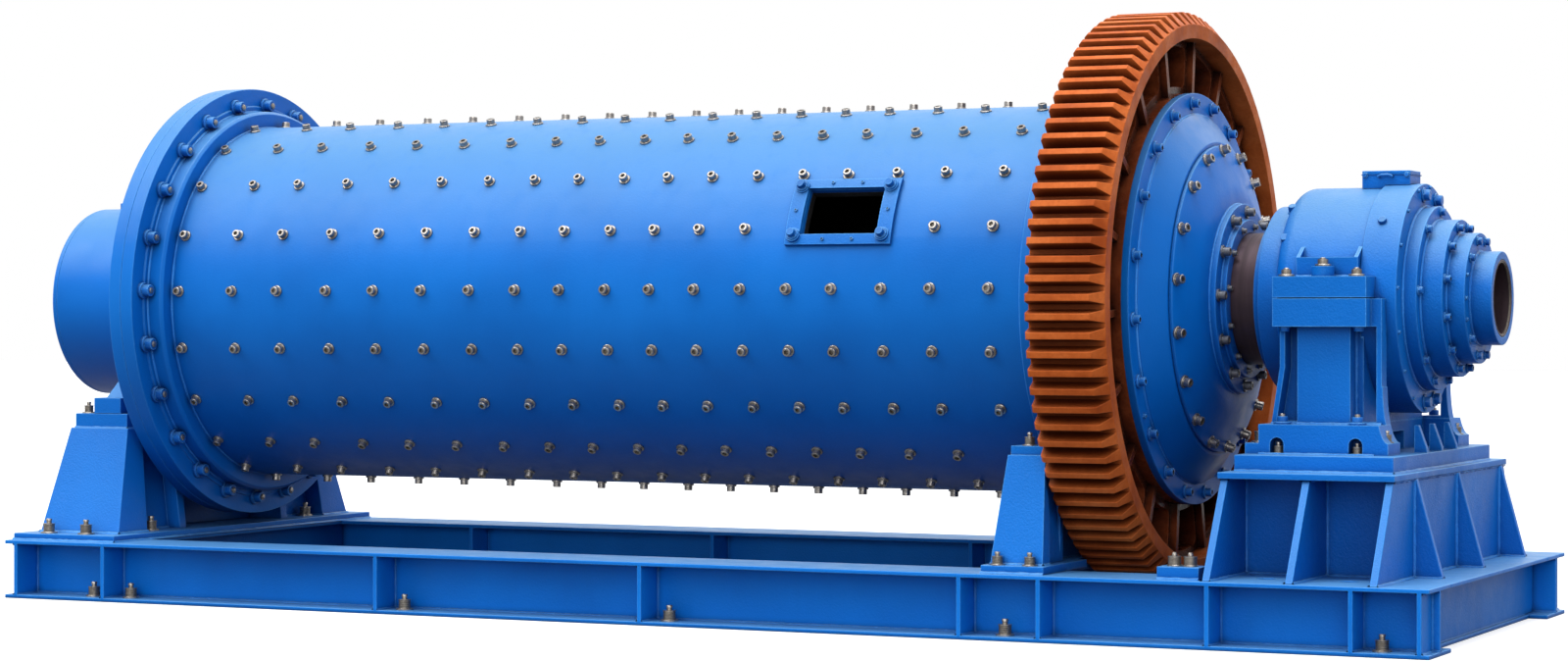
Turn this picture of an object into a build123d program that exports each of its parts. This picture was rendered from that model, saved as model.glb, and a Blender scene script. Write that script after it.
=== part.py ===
from build123d import *
import os
from math import cos, radians, sin, sqrt

# Ball mill on a welded frame. Millimetres, +X along the drum to the discharge end,
# +Y away from the manhole side, +Z up, with the frame standing on Z = 0.

# Drum shell and its lining
shell_length = 4432
shell_radius = 770
shell_wall = 25
liner_wall = 35
liner_end_gap = 6
seat_band_height = 8
seat_band_length = 416

# Feed end of the drum
feed_flange_height = 175
feed_flange_thickness = 60
flange_land_height = 98
flange_land_length = 8
collar_height = 73
collar_length = 80
collar_chamfer = 12
head_flange_thickness = 58
head_step_drop = 80
head_step_length = 34
head_boss_radius = 330
head_cone_length = 36
head_boss_length = 12
trunnion_radius = 255
trunnion_reach = 30
feed_bore_radius = 190

# Discharge end of the drum
cover_flange_height = 35
cover_flange_thickness = 30
cover_step_drop = 48
cover_step_length = 8
ridge_drop = 159
outer_cone_length = 78
head_wall = 50
cone_lip_drop = 172
cone_lip_length = 14
inner_cone_length = 68
hub_seat_radius = 395
hub_flange_radius = 370
hub_flange_thickness = 26
hub_ring_radius = 308
hub_ring_thickness = 22
journal_show_length = 104
discharge_tube_radius = 146
discharge_bore_radius = 138

# Girth gear and the spider that carries it
gear_module = 22
gear_reach = 330
gear_width = 300
gear_overhang = 37
tooth_chamfer = 44
tooth_back_chamfer = 12
tooth_tip_share = 0.17
tooth_pitch_share = 0.25
tooth_root_share = 0.36
rim_wall = 55
spider_hub_length = 210
spider_web = 130
spider_back = 32
arm_count = 18
arm_angle = 4
arm_waist = 64
pocket_margin = 26
pocket_fillet = 34
arm_rib_width = 26
arm_rib_height = 28

# Manhole, open, with its raised frame
manhole_angle = 26.1
manhole_length = 328
manhole_width = 202
manhole_from_discharge = 1183
manhole_frame_length = 450
manhole_frame_width = 286
manhole_frame_height = 17
manhole_pad_radius = 29
manhole_pad_height = 11
manhole_pad_inset = 36

# Frame of two long beams and five cross beams
frame_inset = 231
frame_beyond_stand = 185
frame_half_width = 1049
beam_height = 247
beam_flange_width = 300
beam_flange = 16
beam_web = 14
stiffener = 18
stiffener_shares = (0.009, 0.082, 0.3, 0.495, 0.712, 0.763, 0.868, 0.954, 0.994)
inner_stiffener_shares = (0.2, 0.4, 0.6)
anchor_hole_radius = 15
anchor_offset = 95
anchor_from_web = 75
deck_hole_radius = 36
deck_hole_inset = 249
cross_beam_width = 170
end_web_recess = 100
deck_plate_thickness = 16

# Pedestals at the feed end
sole_inset = 49
flange_clearance = 50
feed_pedestal_from_flange = 196
feed_sole_thickness = 28
feed_sole_half_length = 262
feed_cap_below_axis = 488
feed_cap_height = 62
feed_cap_inset = 14
feed_cap_width = 136
feed_leg_bottom_half = 205
feed_leg_top_half = 150
feed_leg_inset = 159
feed_leg_lean = 140
feed_leg_foot_depth = 207
feed_leg_top_depth = 100
feed_leg_inner = 370
feed_leg_plate = 47
feed_leg_recess = 85
feed_leg_step = 20
feed_cross_wall_thickness = 30

# Bearing at the feed end
feed_housing_radius = 420
feed_housing_length = 588
feed_cover_thickness = 22
feed_cover_bore_gap = 7
feed_saddle_length = 140
feed_saddle_inset = 6
feed_foot_width = 90
feed_foot_height = 68
feed_gusset_rise = 300
feed_gusset_reach = 360
fill_lug_length = 78
fill_lug_width = 60
fill_lug_height = 26
fill_lug_inset = 60

# Pedestals beside the gear
middle_sole_thickness = 30
middle_sole_half_length = 125
middle_cap_below_axis = 554
middle_leg_bottom_half = 105
middle_leg_top_half = 75
middle_leg_inset = 94
middle_leg_lean = 105
middle_leg_foot_depth = 73
middle_leg_top_depth = 46
middle_leg_depth = 183
middle_leg_plate = 28
middle_wall_thickness = 28
middle_wall_gap = 90
middle_cap_height = 34
middle_cap_half = 68
middle_gear_gap = 18
bracket_length = 44
bracket_height = 58
bracket_thickness = 18
keeper_length = 160
keeper_width = 112
keeper_height = 46
keeper_gap = 14

# Stand under the discharge bearing
stand_plate_thickness = 24
stand_plate_inset = 219
stand_wall = 16
stand_front_inset = 452
stand_rib = 28
stand_rib_inset = 8
stand_rib_foot_inset = 18
stand_rib_top_inset = 14
side_rib_reach = 106
side_rib_head = 8
side_rib_shares = (-0.63, 0.1, 0.9)
bed_thickness = 60
bed_side_inset = 120
bed_left_reach = 55
bed_right_reach = 105
bed_to_plate_left = 25
bed_to_plate_right = 38

# Discharge bearing
bearing_length = 440
bearing_base_below_axis = 468
bearing_base_height = 110
bearing_base_half_width = 590
foot_length = 52
foot_width = 165
foot_height = 40
flare_height = 210
flare_step = 4
side_recess_depth = 90
base_arch_half_width = 150
base_arch_height = 70
bolt_pocket_radius = 26
bolt_pocket_height = 62
bolt_pocket_depth = 62
bolt_pocket_share = 0.34
column_front_inset = 100
column_width = 203
column_edge = 20
column_recess = 78
column_foot_inset = 19
column_top_inset = 51
column_flare_share = 0.45
split_flange_length = 358
split_flange_half_width = 553
split_flange_lower = 104
split_flange_upper = 78
split_gap = 4
bearing_radius = 424
bearing_shoulder = 60
seal_ring_radius = 300
seal_ring_length = 34
inner_cover_radius = 356
inner_cover_length = 80
end_flange_radius = 436
end_flange_length = 140
end_flange_reach = 39
large_cover_radius = 349
large_cover_length = 53
middle_cover_radius = 298
middle_cover_length = 84
small_cover_radius = 247
small_cover_length = 71
outlet_radius = 177
outlet_length = 83
cap_pad_length = 236
cap_pad_height = 72
cap_pad_half_width = 450
cap_gusset = 14
cap_gusset_reach = 65
cap_gusset_rise = 40
cap_boss_radius = 42
cap_boss_height = 38
cap_boss_inset = 52
inspection_box_length = 187
inspection_box_overhang = 95
inspection_box_width = 150
inspection_box_height = 62

# Clearances
running_share = 0.0018
moving_gap = 6
overrun = 10

shell_end = shell_length / 2
shell_inner = shell_radius - shell_wall
liner_inner = shell_inner - liner_wall
seat_radius = shell_radius + seat_band_height
feed_flange_radius = shell_radius + feed_flange_height
cover_flange_radius = shell_radius + cover_flange_height
ridge_radius = shell_radius - ridge_drop
axis_height = beam_height + feed_sole_thickness + flange_clearance + feed_flange_radius

tooth_count = round(2 * (shell_radius + gear_reach) / gear_module)
gear_right = shell_end + gear_overhang
gear_left = gear_right - gear_width
pitch_radius = gear_module * tooth_count / 2
tip_radius = pitch_radius + gear_module
root_radius = pitch_radius - gear_module * 5 / 4
rim_radius = root_radius - rim_wall

feed_head_face = -shell_end - head_flange_thickness
head_step_face = feed_head_face - head_step_length
head_cone_face = head_step_face - head_cone_length
head_boss_face = head_cone_face - head_boss_length
feed_housing_right = head_boss_face - moving_gap
feed_housing_left = feed_housing_right - feed_housing_length
feed_cover_left = feed_housing_left - feed_cover_thickness
feed_end = feed_cover_left - trunnion_reach

cover_face = shell_end + cover_flange_thickness
cover_step_face = cover_face + cover_step_length
ridge_face = cover_step_face + outer_cone_length
lip_face = ridge_face + cone_lip_length
cone_face = lip_face + inner_cone_length
hub_face = cone_face + hub_flange_thickness
hub_ring_face = hub_face + hub_ring_thickness
seal_left = hub_ring_face + journal_show_length
inner_cover_left = seal_left + seal_ring_length
bearing_left = inner_cover_left + inner_cover_length
bearing_right = bearing_left + bearing_length
bearing_middle = (bearing_left + bearing_right) / 2
end_flange_right = bearing_right + end_flange_reach
end_flange_left = end_flange_right - end_flange_length
large_cover_face = end_flange_right + large_cover_length
middle_cover_face = large_cover_face + middle_cover_length
small_cover_face = middle_cover_face + small_cover_length
outlet_end = small_cover_face + outlet_length

bed_left = bearing_left - bed_left_reach
bed_right = bearing_right + bed_right_reach
stand_plate_left = bed_left - bed_to_plate_left
stand_plate_right = bed_right + bed_to_plate_right
stand_plate_half_width = frame_half_width - stand_plate_inset
bed_half_width = stand_plate_half_width - bed_side_inset
stand_wall_y = frame_half_width - stand_front_inset
stand_inner_x = stand_plate_left + stand_rib_inset + stand_rib / 2
stand_end_x = stand_plate_right - stand_rib_inset - stand_rib / 2
stand_middle_x = (stand_inner_x + stand_end_x) / 2
column_half_width = bearing_base_half_width - column_front_inset
base_top = axis_height - bearing_base_below_axis
bed_top = base_top - bearing_base_height
stand_plate_top = bed_top - bed_thickness
stand_plate_bottom = stand_plate_top - stand_plate_thickness

frame_left = feed_cover_left + frame_inset
frame_right = stand_plate_right + frame_beyond_stand
frame_length = frame_right - frame_left
frame_inner = frame_half_width - beam_flange_width
web_middle = frame_half_width - beam_flange_width / 2
sole_half_width = frame_half_width - sole_inset
part_middle = (feed_end + outlet_end) / 2

feed_pedestal_x = feed_head_face - feed_pedestal_from_flange
feed_leg_front = frame_half_width - feed_leg_inset
feed_leg_foot = beam_height + feed_sole_thickness
feed_cap_front = feed_leg_front - feed_leg_lean - feed_cap_inset
feed_cap_top = axis_height - feed_cap_below_axis
feed_leg_top = feed_cap_top - feed_cap_height

middle_pedestal_x = gear_left - middle_gear_gap - middle_leg_top_half
middle_leg_front = frame_half_width - middle_leg_inset
middle_leg_inner = middle_leg_front - middle_leg_lean - middle_leg_depth
middle_leg_foot = beam_height + middle_sole_thickness
middle_cap_top = axis_height - middle_cap_below_axis
middle_leg_top = middle_cap_top - middle_cap_height


def at_axis(x):
    """Plane across the drum's axis at x: local x along +Y, local y up."""
    return Plane(origin=(x, 0, axis_height), x_dir=(0, 1, 0), z_dir=(1, 0, 0))


def ring(outer, inner, start, end):
    """Ring on the drum's axis from x = start to x = end."""
    face = Circle(outer) - Circle(inner)
    return extrude(at_axis(start) * face, amount=end - start)


def disc(radius, start, end):
    """Disc on the drum's axis from x = start to x = end."""
    return extrude(at_axis(start) * Circle(radius), amount=end - start)


def turned(points):
    """Solid turned about the drum's axis from points given as (x, radius)."""
    plane = Plane(origin=(0, 0, axis_height), x_dir=(1, 0, 0), z_dir=(0, -1, 0))
    face = plane * make_face(Polyline(*points, close=True))
    return revolve(face, axis=Axis((0, 0, axis_height), (1, 0, 0)))


def block(x_range, y_range, z_range):
    """Box between two values on each axis."""
    ranges = (x_range, y_range, z_range)
    size = [high - low for low, high in ranges]
    middle = [(high + low) / 2 for low, high in ranges]
    return Pos(*middle) * Box(*size)


def across(points, start, end):
    """Outline of (y, z) points, extruded along X."""
    plane = Plane(origin=(start, 0, 0), x_dir=(0, 1, 0), z_dir=(1, 0, 0))
    return extrude(plane * make_face(Polyline(*points, close=True)), amount=end - start)


def along(points, start, end):
    """Outline of (x, z) points, extruded along Y."""
    plane = Plane(origin=(0, end, 0), x_dir=(1, 0, 0), z_dir=(0, -1, 0))
    return extrude(plane * make_face(Polyline(*points, close=True)), amount=end - start)


def other_side(part):
    """The same piece on the other long side of the mill."""
    return mirror(part, about=Plane.XZ)


def joined(pieces):
    """All pieces fused into one."""
    whole = pieces[0]
    for piece in pieces[1:]:
        whole = whole + piece
    return whole


def frame_x(share):
    """Place along the frame, as a share of its length."""
    return frame_left + share * frame_length


# Frame

def stiffener_plate(x, inner, outer):
    """Upright plate between a beam's flanges, from one width to another."""
    return block(
        (x - stiffener / 2, x + stiffener / 2),
        (-outer, -inner),
        (beam_flange, beam_height - beam_flange),
    )


def anchor_places():
    """Places of the anchor bolts along a beam."""
    second, third, fourth, fifth, sixth = [frame_x(share) for share in stiffener_shares[1:6]]
    eighth = frame_x(stiffener_shares[7])
    return [
        second - anchor_offset,
        second + anchor_offset,
        third + anchor_offset,
        fourth + anchor_offset,
        (fifth + sixth) / 2,
        eighth + anchor_offset,
    ]


def front_beam():
    """I-beam with stiffeners, anchor holes and two holes in its upper flange."""
    lengthwise = (frame_left, frame_right)
    flange_y = (-frame_half_width, -frame_inner)
    web_y = (-web_middle - beam_web / 2, -web_middle + beam_web / 2)
    pieces = [
        block(lengthwise, flange_y, (0, beam_flange)),
        block(lengthwise, flange_y, (beam_height - beam_flange, beam_height)),
        block(lengthwise, web_y, (beam_flange, beam_height - beam_flange)),
    ]
    for share in stiffener_shares:
        pieces.append(stiffener_plate(frame_x(share), web_middle, frame_half_width))
    for share in inner_stiffener_shares:
        pieces.append(stiffener_plate(frame_x(share), frame_inner, web_middle))
    beam = joined(pieces)
    for x in anchor_places():
        hole = Cylinder(anchor_hole_radius, beam_flange + 2 * overrun)
        beam = beam - Pos(x, -web_middle - anchor_from_web, beam_flange / 2) * hole
    for x in deck_hole_places():
        hole = Cylinder(deck_hole_radius, beam_flange + 2 * overrun)
        hole_y = -frame_half_width + deck_hole_inset
        beam = beam - Pos(x, hole_y, beam_height - beam_flange / 2) * hole
    return beam


def cross_beam(x):
    """I-beam that ties the long beams together."""
    half = cross_beam_width / 2
    return joined([
        block((x - half, x + half), (-frame_inner, frame_inner), (0, beam_flange)),
        block(
            (x - half, x + half),
            (-frame_inner, frame_inner),
            (beam_height - beam_flange, beam_height),
        ),
        block(
            (x - beam_web / 2, x + beam_web / 2),
            (-web_middle + beam_web / 2, web_middle - beam_web / 2),
            (beam_flange, beam_height - beam_flange),
        ),
    ])


def end_cross_beam(web_x, outward):
    """Channel that closes one end of the frame, with its web set back."""
    inside = web_x - outward * cross_beam_width / 2
    outside = web_x + outward * end_web_recess
    foot = web_x + outward * end_web_recess / 4
    low, high = sorted((inside, outside))
    foot_low, foot_high = sorted((inside, foot))
    return joined([
        block((foot_low, foot_high), (-frame_inner, frame_inner), (0, beam_flange)),
        block((low, high), (-frame_inner, frame_inner), (beam_height - beam_flange, beam_height)),
        block(
            (web_x - beam_web / 2, web_x + beam_web / 2),
            (-web_middle + beam_web / 2, web_middle - beam_web / 2),
            (beam_flange, beam_height - beam_flange),
        ),
    ])


def deck_plate():
    """Plate between the beams under the stand, level with their tops."""
    start = stand_inner_x + cross_beam_width / 2
    end = frame_right - end_web_recess - cross_beam_width / 2
    return block(
        (start, end),
        (-frame_inner, frame_inner),
        (beam_height - deck_plate_thickness, beam_height),
    )


# Pedestals

def leg(
    x,
    foot_z,
    top_z,
    bottom_half,
    top_half,
    front,
    lean,
    foot_depth,
    top_depth,
    inner,
    plate,
    recess,
    step,
):
    """Welded leg on the front side: leaning front box, recessed web and inner plate."""

    def side(inset):
        return along(
            [
                (x - bottom_half + inset, foot_z),
                (x + bottom_half - inset, foot_z),
                (x + top_half - inset, top_z),
                (x - top_half + inset, top_z),
            ],
            -front,
            -inner,
        )

    length = (x - bottom_half, x + bottom_half)
    front_box = across(
        [
            (-front, foot_z),
            (-front + lean, top_z),
            (-front + lean + top_depth, top_z),
            (-front + foot_depth, foot_z),
        ],
        *length,
    )
    whole = across(
        [(-front, foot_z), (-front + lean, top_z), (-inner, top_z), (-inner, foot_z)],
        *length,
    )
    inner_plate = block(length, (-inner - plate, -inner), (foot_z, top_z))
    return (side(0) & front_box) + (side(recess) & whole) + (side(step) & inner_plate)


def feed_sole_plate():
    """Long plate across the frame under both feed pedestals."""
    return block(
        (feed_pedestal_x - feed_sole_half_length, feed_pedestal_x + feed_sole_half_length),
        (-sole_half_width, sole_half_width),
        (beam_height, feed_leg_foot),
    )


def feed_pedestal():
    """Front leg at the feed end with its cap block."""
    body = leg(
        x=feed_pedestal_x,
        foot_z=feed_leg_foot,
        top_z=feed_leg_top,
        bottom_half=feed_leg_bottom_half,
        top_half=feed_leg_top_half,
        front=feed_leg_front,
        lean=feed_leg_lean,
        foot_depth=feed_leg_foot_depth,
        top_depth=feed_leg_top_depth,
        inner=feed_leg_inner,
        plate=feed_leg_plate,
        recess=feed_leg_recess,
        step=feed_leg_step,
    )
    cap_half = feed_leg_top_half - feed_cap_inset
    cap = block(
        (feed_pedestal_x - cap_half, feed_pedestal_x + cap_half),
        (-feed_cap_front, -feed_cap_front + feed_cap_width),
        (feed_leg_top, feed_cap_top),
    )
    return body + cap


def feed_cross_wall():
    """Wall that ties the two feed pedestals under the bearing."""
    half = feed_cross_wall_thickness / 2
    return block(
        (feed_pedestal_x - half, feed_pedestal_x + half),
        (-feed_leg_inner, feed_leg_inner),
        (feed_leg_foot, feed_leg_top),
    )


def feed_saddle():
    """Cast foot of the feed bearing, from one pedestal cap to the other."""
    side = [
        (feed_cap_front, feed_cap_top),
        (feed_cap_front, feed_cap_top + feed_foot_height),
        (feed_cap_front - feed_foot_width, feed_cap_top + feed_foot_height),
        (feed_gusset_reach, feed_cap_top + feed_gusset_rise),
    ]
    outline = [(-y, z) for y, z in side] + [(y, z) for y, z in reversed(side)]
    end = feed_housing_right - feed_saddle_inset
    start = end - feed_saddle_length
    return across(outline, start, end) - disc(feed_housing_radius, start - overrun, end + overrun)


def feed_bearing_housing():
    """Round bearing housing at the feed end, with a filling lug on top."""
    bore = trunnion_radius * (1 + running_share)
    body = ring(feed_housing_radius, bore, feed_housing_left, feed_housing_right)
    lug_left = feed_housing_left + fill_lug_inset
    lug_foot = axis_height + feed_housing_radius - fill_lug_height
    lug = block(
        (lug_left, lug_left + fill_lug_length),
        (-fill_lug_width / 2, fill_lug_width / 2),
        (lug_foot, lug_foot + 2 * fill_lug_height),
    )
    return body + lug


def feed_end_cover():
    """Bolted ring that closes the feed bearing."""
    return ring(
        feed_housing_radius,
        trunnion_radius + feed_cover_bore_gap,
        feed_cover_left,
        feed_housing_left,
    )


def middle_sole_plate():
    """Plate under both pedestals beside the gear, with the wall that ties them."""
    plate = block(
        (middle_pedestal_x - middle_sole_half_length, middle_pedestal_x + middle_sole_half_length),
        (-sole_half_width, sole_half_width),
        (beam_height, middle_leg_foot),
    )
    gear_half = sqrt(tip_radius**2 - (axis_height - middle_leg_foot) ** 2) + middle_gear_gap
    gear_room = block(
        (gear_left - middle_gear_gap, gear_right),
        (-gear_half, gear_half),
        (beam_height - overrun, middle_leg_foot + overrun),
    )
    half = middle_wall_thickness / 2
    wall = block(
        (middle_pedestal_x - half, middle_pedestal_x + half),
        (-middle_leg_inner, middle_leg_inner),
        (middle_leg_foot, middle_leg_top),
    )
    drum_room = disc(
        seat_radius + middle_wall_gap,
        middle_pedestal_x - half - overrun,
        middle_pedestal_x + half + overrun,
    )
    return (plate - gear_room) + (wall - drum_room)


def middle_pedestal():
    """Front leg beside the gear, with its cap and a finned bracket."""
    body = leg(
        x=middle_pedestal_x,
        foot_z=middle_leg_foot,
        top_z=middle_leg_top,
        bottom_half=middle_leg_bottom_half,
        top_half=middle_leg_top_half,
        front=middle_leg_front,
        lean=middle_leg_lean,
        foot_depth=middle_leg_foot_depth,
        top_depth=middle_leg_top_depth,
        inner=middle_leg_inner,
        plate=middle_leg_plate,
        recess=middle_leg_plate,
        step=0,
    )
    gear_room = block(
        (middle_pedestal_x + middle_leg_top_half, gear_right),
        (-middle_leg_front + middle_leg_lean, 0),
        (middle_leg_foot, middle_leg_top),
    )
    cap_front = middle_leg_front - middle_leg_lean - feed_cap_inset
    cap = block(
        (middle_pedestal_x - middle_cap_half, middle_pedestal_x + middle_cap_half),
        (-cap_front, -middle_leg_inner),
        (middle_leg_top, middle_cap_top),
    )
    fin_right = middle_pedestal_x + middle_cap_half
    fin_middle = (cap_front + middle_leg_inner) / 2
    fin = along(
        [
            (fin_right - bracket_length, middle_cap_top),
            (fin_right, middle_cap_top),
            (fin_right, middle_cap_top + bracket_height),
            (fin_right - bracket_length / 3, middle_cap_top + bracket_height),
        ],
        -fin_middle - bracket_thickness / 2,
        -fin_middle + bracket_thickness / 2,
    )
    return body - gear_room + cap + fin


def keeper_blocks():
    """Blocks bolted to the beams between the gear and the stand."""
    right = stand_plate_left - keeper_gap
    front = block(
        (right - keeper_length, right),
        (-sole_half_width, -sole_half_width + keeper_width),
        (beam_height, beam_height + keeper_height),
    )
    return Compound(children=[front, other_side(front)])


# Stand

def deck_hole_places():
    """Places of the holes between the stand's walls and its middle rib."""
    return [(stand_inner_x + stand_middle_x) / 2, (stand_middle_x + stand_end_x) / 2]


def stand_cross_wall(x):
    """Wall across the stand that leans in from the beams to the plate."""
    foot_y = frame_half_width - stand_rib_foot_inset
    top_y = stand_plate_half_width - stand_rib_top_inset
    outline = [
        (-foot_y, beam_height),
        (-top_y, stand_plate_bottom),
        (top_y, stand_plate_bottom),
        (foot_y, beam_height),
    ]
    return across(outline, x - stand_rib / 2, x + stand_rib / 2)


def stand_front_wall():
    """Front wall of the stand with a leaning rib at its middle."""
    wall = block(
        (stand_inner_x + stand_rib / 2, stand_end_x - stand_rib / 2),
        (-stand_wall_y, -stand_wall_y + stand_wall),
        (beam_height, stand_plate_bottom),
    )
    front_half = block(
        (stand_inner_x, stand_end_x),
        (-frame_half_width, -stand_wall_y),
        (beam_height, stand_plate_bottom),
    )
    return wall + (stand_cross_wall(stand_middle_x) & front_half)


def stand_end_wall():
    """End wall of the stand with three slanted ribs."""
    wall_right = stand_end_x + stand_rib / 2
    pieces = [stand_cross_wall(stand_end_x)]
    outline = [
        (wall_right, beam_height),
        (wall_right + side_rib_reach, beam_height),
        (wall_right + side_rib_head, stand_plate_bottom),
        (wall_right, stand_plate_bottom),
    ]
    for share in side_rib_shares:
        y = share * stand_plate_half_width
        pieces.append(along(outline, y - stand_rib / 2, y + stand_rib / 2))
    return joined(pieces)


def stand_plate():
    """Wide plate on the stand."""
    return block(
        (stand_plate_left, stand_plate_right),
        (-stand_plate_half_width, stand_plate_half_width),
        (stand_plate_bottom, stand_plate_top),
    )


def bearing_bed():
    """Thick machined plate under the discharge bearing."""
    return block((bed_left, bed_right), (-bed_half_width, bed_half_width), (stand_plate_top, bed_top))


# Discharge bearing

def bolt_pocket(x):
    """Arched pocket for a bolt in the front of the bearing base."""
    straight = bolt_pocket_height - bolt_pocket_radius
    front = -bearing_base_half_width - overrun
    back = -bearing_base_half_width + bolt_pocket_depth
    box = block(
        (x - bolt_pocket_radius, x + bolt_pocket_radius),
        (front, back),
        (bed_top - overrun, bed_top + straight),
    )
    plane = Plane(origin=(x, back, bed_top + straight), x_dir=(1, 0, 0), z_dir=(0, -1, 0))
    return box + extrude(plane * Circle(bolt_pocket_radius), amount=back - front)


def flared_side(y_range, z_range):
    """Side that flares from the housing out to the foot, within a range of y and z."""
    right = bearing_right + foot_length
    low = bed_top + foot_height
    high = low + flare_height
    side = block((bearing_right, right), y_range, (low, high))
    corner = Plane(origin=(right, y_range[1], high), x_dir=(1, 0, 0), z_dir=(0, -1, 0))
    hollow = Ellipse(foot_length - flare_step, flare_height - flare_step)
    side = side - extrude(corner * hollow, amount=y_range[1] - y_range[0])
    return side & block((bearing_right, right), y_range, z_range)


def side_recess(z_range):
    """Room between the two flared sides, on the discharge side."""
    half = bearing_base_half_width - foot_width
    return block(
        (bearing_right - side_recess_depth, bearing_right + overrun),
        (-half, half),
        z_range,
    )


def bearing_base():
    """Cast base block with four feet, an arch below and bolt pockets."""
    foot_y = (-bearing_base_half_width, -bearing_base_half_width + foot_width)
    base = block(
        (bearing_left, bearing_right),
        (-bearing_base_half_width, bearing_base_half_width),
        (bed_top, base_top),
    )
    foot = block(
        (bearing_left - foot_length, bearing_right + foot_length),
        foot_y,
        (bed_top, bed_top + foot_height),
    )
    flare = flared_side(foot_y, (bed_top + foot_height, base_top))
    arch = block(
        (bearing_left - overrun, bearing_right + overrun),
        (-base_arch_half_width, base_arch_half_width),
        (bed_top - overrun, bed_top + base_arch_height),
    )
    side = foot + flare
    base = base + side + other_side(side) - arch
    base = base - side_recess((bed_top - overrun, base_top + overrun))
    for side in (-1, 1):
        pocket = bolt_pocket(bearing_middle + side * bolt_pocket_share * bearing_length)
        base = base - pocket - other_side(pocket)
    return base


def bearing_body():
    """Round body of the bearing with a rounded shoulder."""
    body = disc(bearing_radius, bearing_left, end_flange_left)
    shoulder = body.edges().filter_by(GeomType.CIRCLE).sort_by(Axis.X)[0]
    return fillet(shoulder, bearing_shoulder)


def bearing_bore():
    """Running bore for the trunnion."""
    bore = trunnion_radius * (1 + running_share)
    return disc(bore, bearing_left - overrun, bearing_right + overrun)


def split_flange(low, high):
    """Flange blocks on both sides of the bearing, at the split."""
    return block(
        (bearing_middle - split_flange_length / 2, bearing_middle + split_flange_length / 2),
        (-split_flange_half_width, split_flange_half_width),
        (low, high),
    )


def column_side(inset, low, high):
    """Left edge of the housing as (x, z) points, set in by an inset, from high to low."""
    flare_z = base_top + column_flare_share * (axis_height - base_top)
    return [
        (bearing_left + column_top_inset + inset, high),
        (bearing_left + column_top_inset + inset, flare_z),
        (bearing_left + column_foot_inset + inset, low),
    ]


def bearing_housing():
    """Lower half of the bearing on its columns."""
    split = axis_height - split_gap / 2
    outline = column_side(0, base_top, split) + [(bearing_right, base_top), (bearing_right, split)]
    body = along(outline, -column_half_width, column_half_width)
    column_left = bearing_middle - column_width / 2
    column_right = bearing_middle + column_width / 2
    recess_y = (-column_half_width - overrun, -column_half_width + column_recess)
    low = base_top + column_edge / 2
    high = split - split_flange_lower
    left_outline = column_side(column_edge, low, high) + [(column_left, low), (column_left, high)]
    recess_left = along(left_outline, *recess_y)
    recess_right = block((column_right, bearing_right - column_edge), recess_y, (low, high))
    for recess in (recess_left, recess_right):
        body = body - recess - other_side(recess)
    body = body - side_recess((base_top - overrun, axis_height))
    flare_y = (-column_half_width, -bearing_base_half_width + foot_width)
    flare = flared_side(flare_y, (base_top, split))
    lower_half = block(
        (bearing_left, end_flange_left),
        (-bearing_radius, bearing_radius),
        (base_top, split),
    )
    body = body + flare + other_side(flare) + (bearing_body() & lower_half)
    body = body + split_flange(split - split_flange_lower, split)
    end_seat = disc(end_flange_radius, end_flange_left, bearing_right + foot_length)
    return body - end_seat - bearing_bore()


def cap_pad(low):
    """Pad on the front side of the cap, with a gusset at each end and a boss before it."""
    inner = bearing_radius / 2
    left = bearing_middle - cap_pad_length / 2
    right = bearing_middle + cap_pad_length / 2
    pad = block((left, right), (-cap_pad_half_width, -inner), (low, low + cap_pad_height))
    gusset = [
        (-cap_pad_half_width, low + cap_pad_height),
        (-cap_pad_half_width + cap_gusset_reach, low + cap_pad_height + cap_gusset_rise),
        (-inner, low + cap_pad_height + cap_gusset_rise),
        (-inner, low + cap_pad_height),
    ]
    ends = across(gusset, left, left + cap_gusset) + across(gusset, right - cap_gusset, right)
    boss_y = -split_flange_half_width + cap_boss_inset
    boss = Pos(bearing_middle, boss_y, low + cap_boss_height / 2) * Cylinder(
        cap_boss_radius, cap_boss_height
    )
    return pad + ends + boss


def bearing_cap():
    """Upper half of the bearing with its split flanges and side pads."""
    split = axis_height + split_gap / 2
    top = axis_height + bearing_radius
    upper_half = block(
        (bearing_left, end_flange_left),
        (-bearing_radius, bearing_radius),
        (split, top),
    )
    pad = cap_pad(split + split_flange_upper)
    body = (bearing_body() & upper_half) + split_flange(split, split + split_flange_upper)
    end_seat = disc(end_flange_radius, end_flange_left, bearing_right + overrun)
    return body + pad + other_side(pad) - end_seat - bearing_bore()


def inspection_box():
    """Box with a lid on top of the bearing, over the edge of the end flange."""
    right = end_flange_left + inspection_box_overhang
    left = right - inspection_box_length
    box = block(
        (left, right),
        (-inspection_box_width / 2, inspection_box_width / 2),
        (axis_height, axis_height + bearing_radius + inspection_box_height),
    )
    over_cap = disc(bearing_radius, left - overrun, end_flange_left)
    over_flange = disc(end_flange_radius, end_flange_left, right + overrun)
    return box - over_cap - over_flange


def bearing_seal_ring():
    """Stepped rings round the journal on the drum side."""
    bore = trunnion_radius * (1 + running_share)
    return ring(seal_ring_radius, bore, seal_left, inner_cover_left) + ring(
        inner_cover_radius, bore, inner_cover_left, bearing_left
    )


def bearing_end_flange():
    """Wide bolted ring at the discharge side of the bearing."""
    bore = trunnion_radius * (1 + running_share)
    return ring(end_flange_radius, bore, end_flange_left, end_flange_right)


def bearing_outer_cover():
    """Two stepped bolted rings outside the bearing."""
    bore = discharge_tube_radius * (1 + running_share)
    large = ring(large_cover_radius, bore, end_flange_right, large_cover_face)
    middle = ring(middle_cover_radius, bore, large_cover_face, middle_cover_face)
    return large + middle


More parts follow.
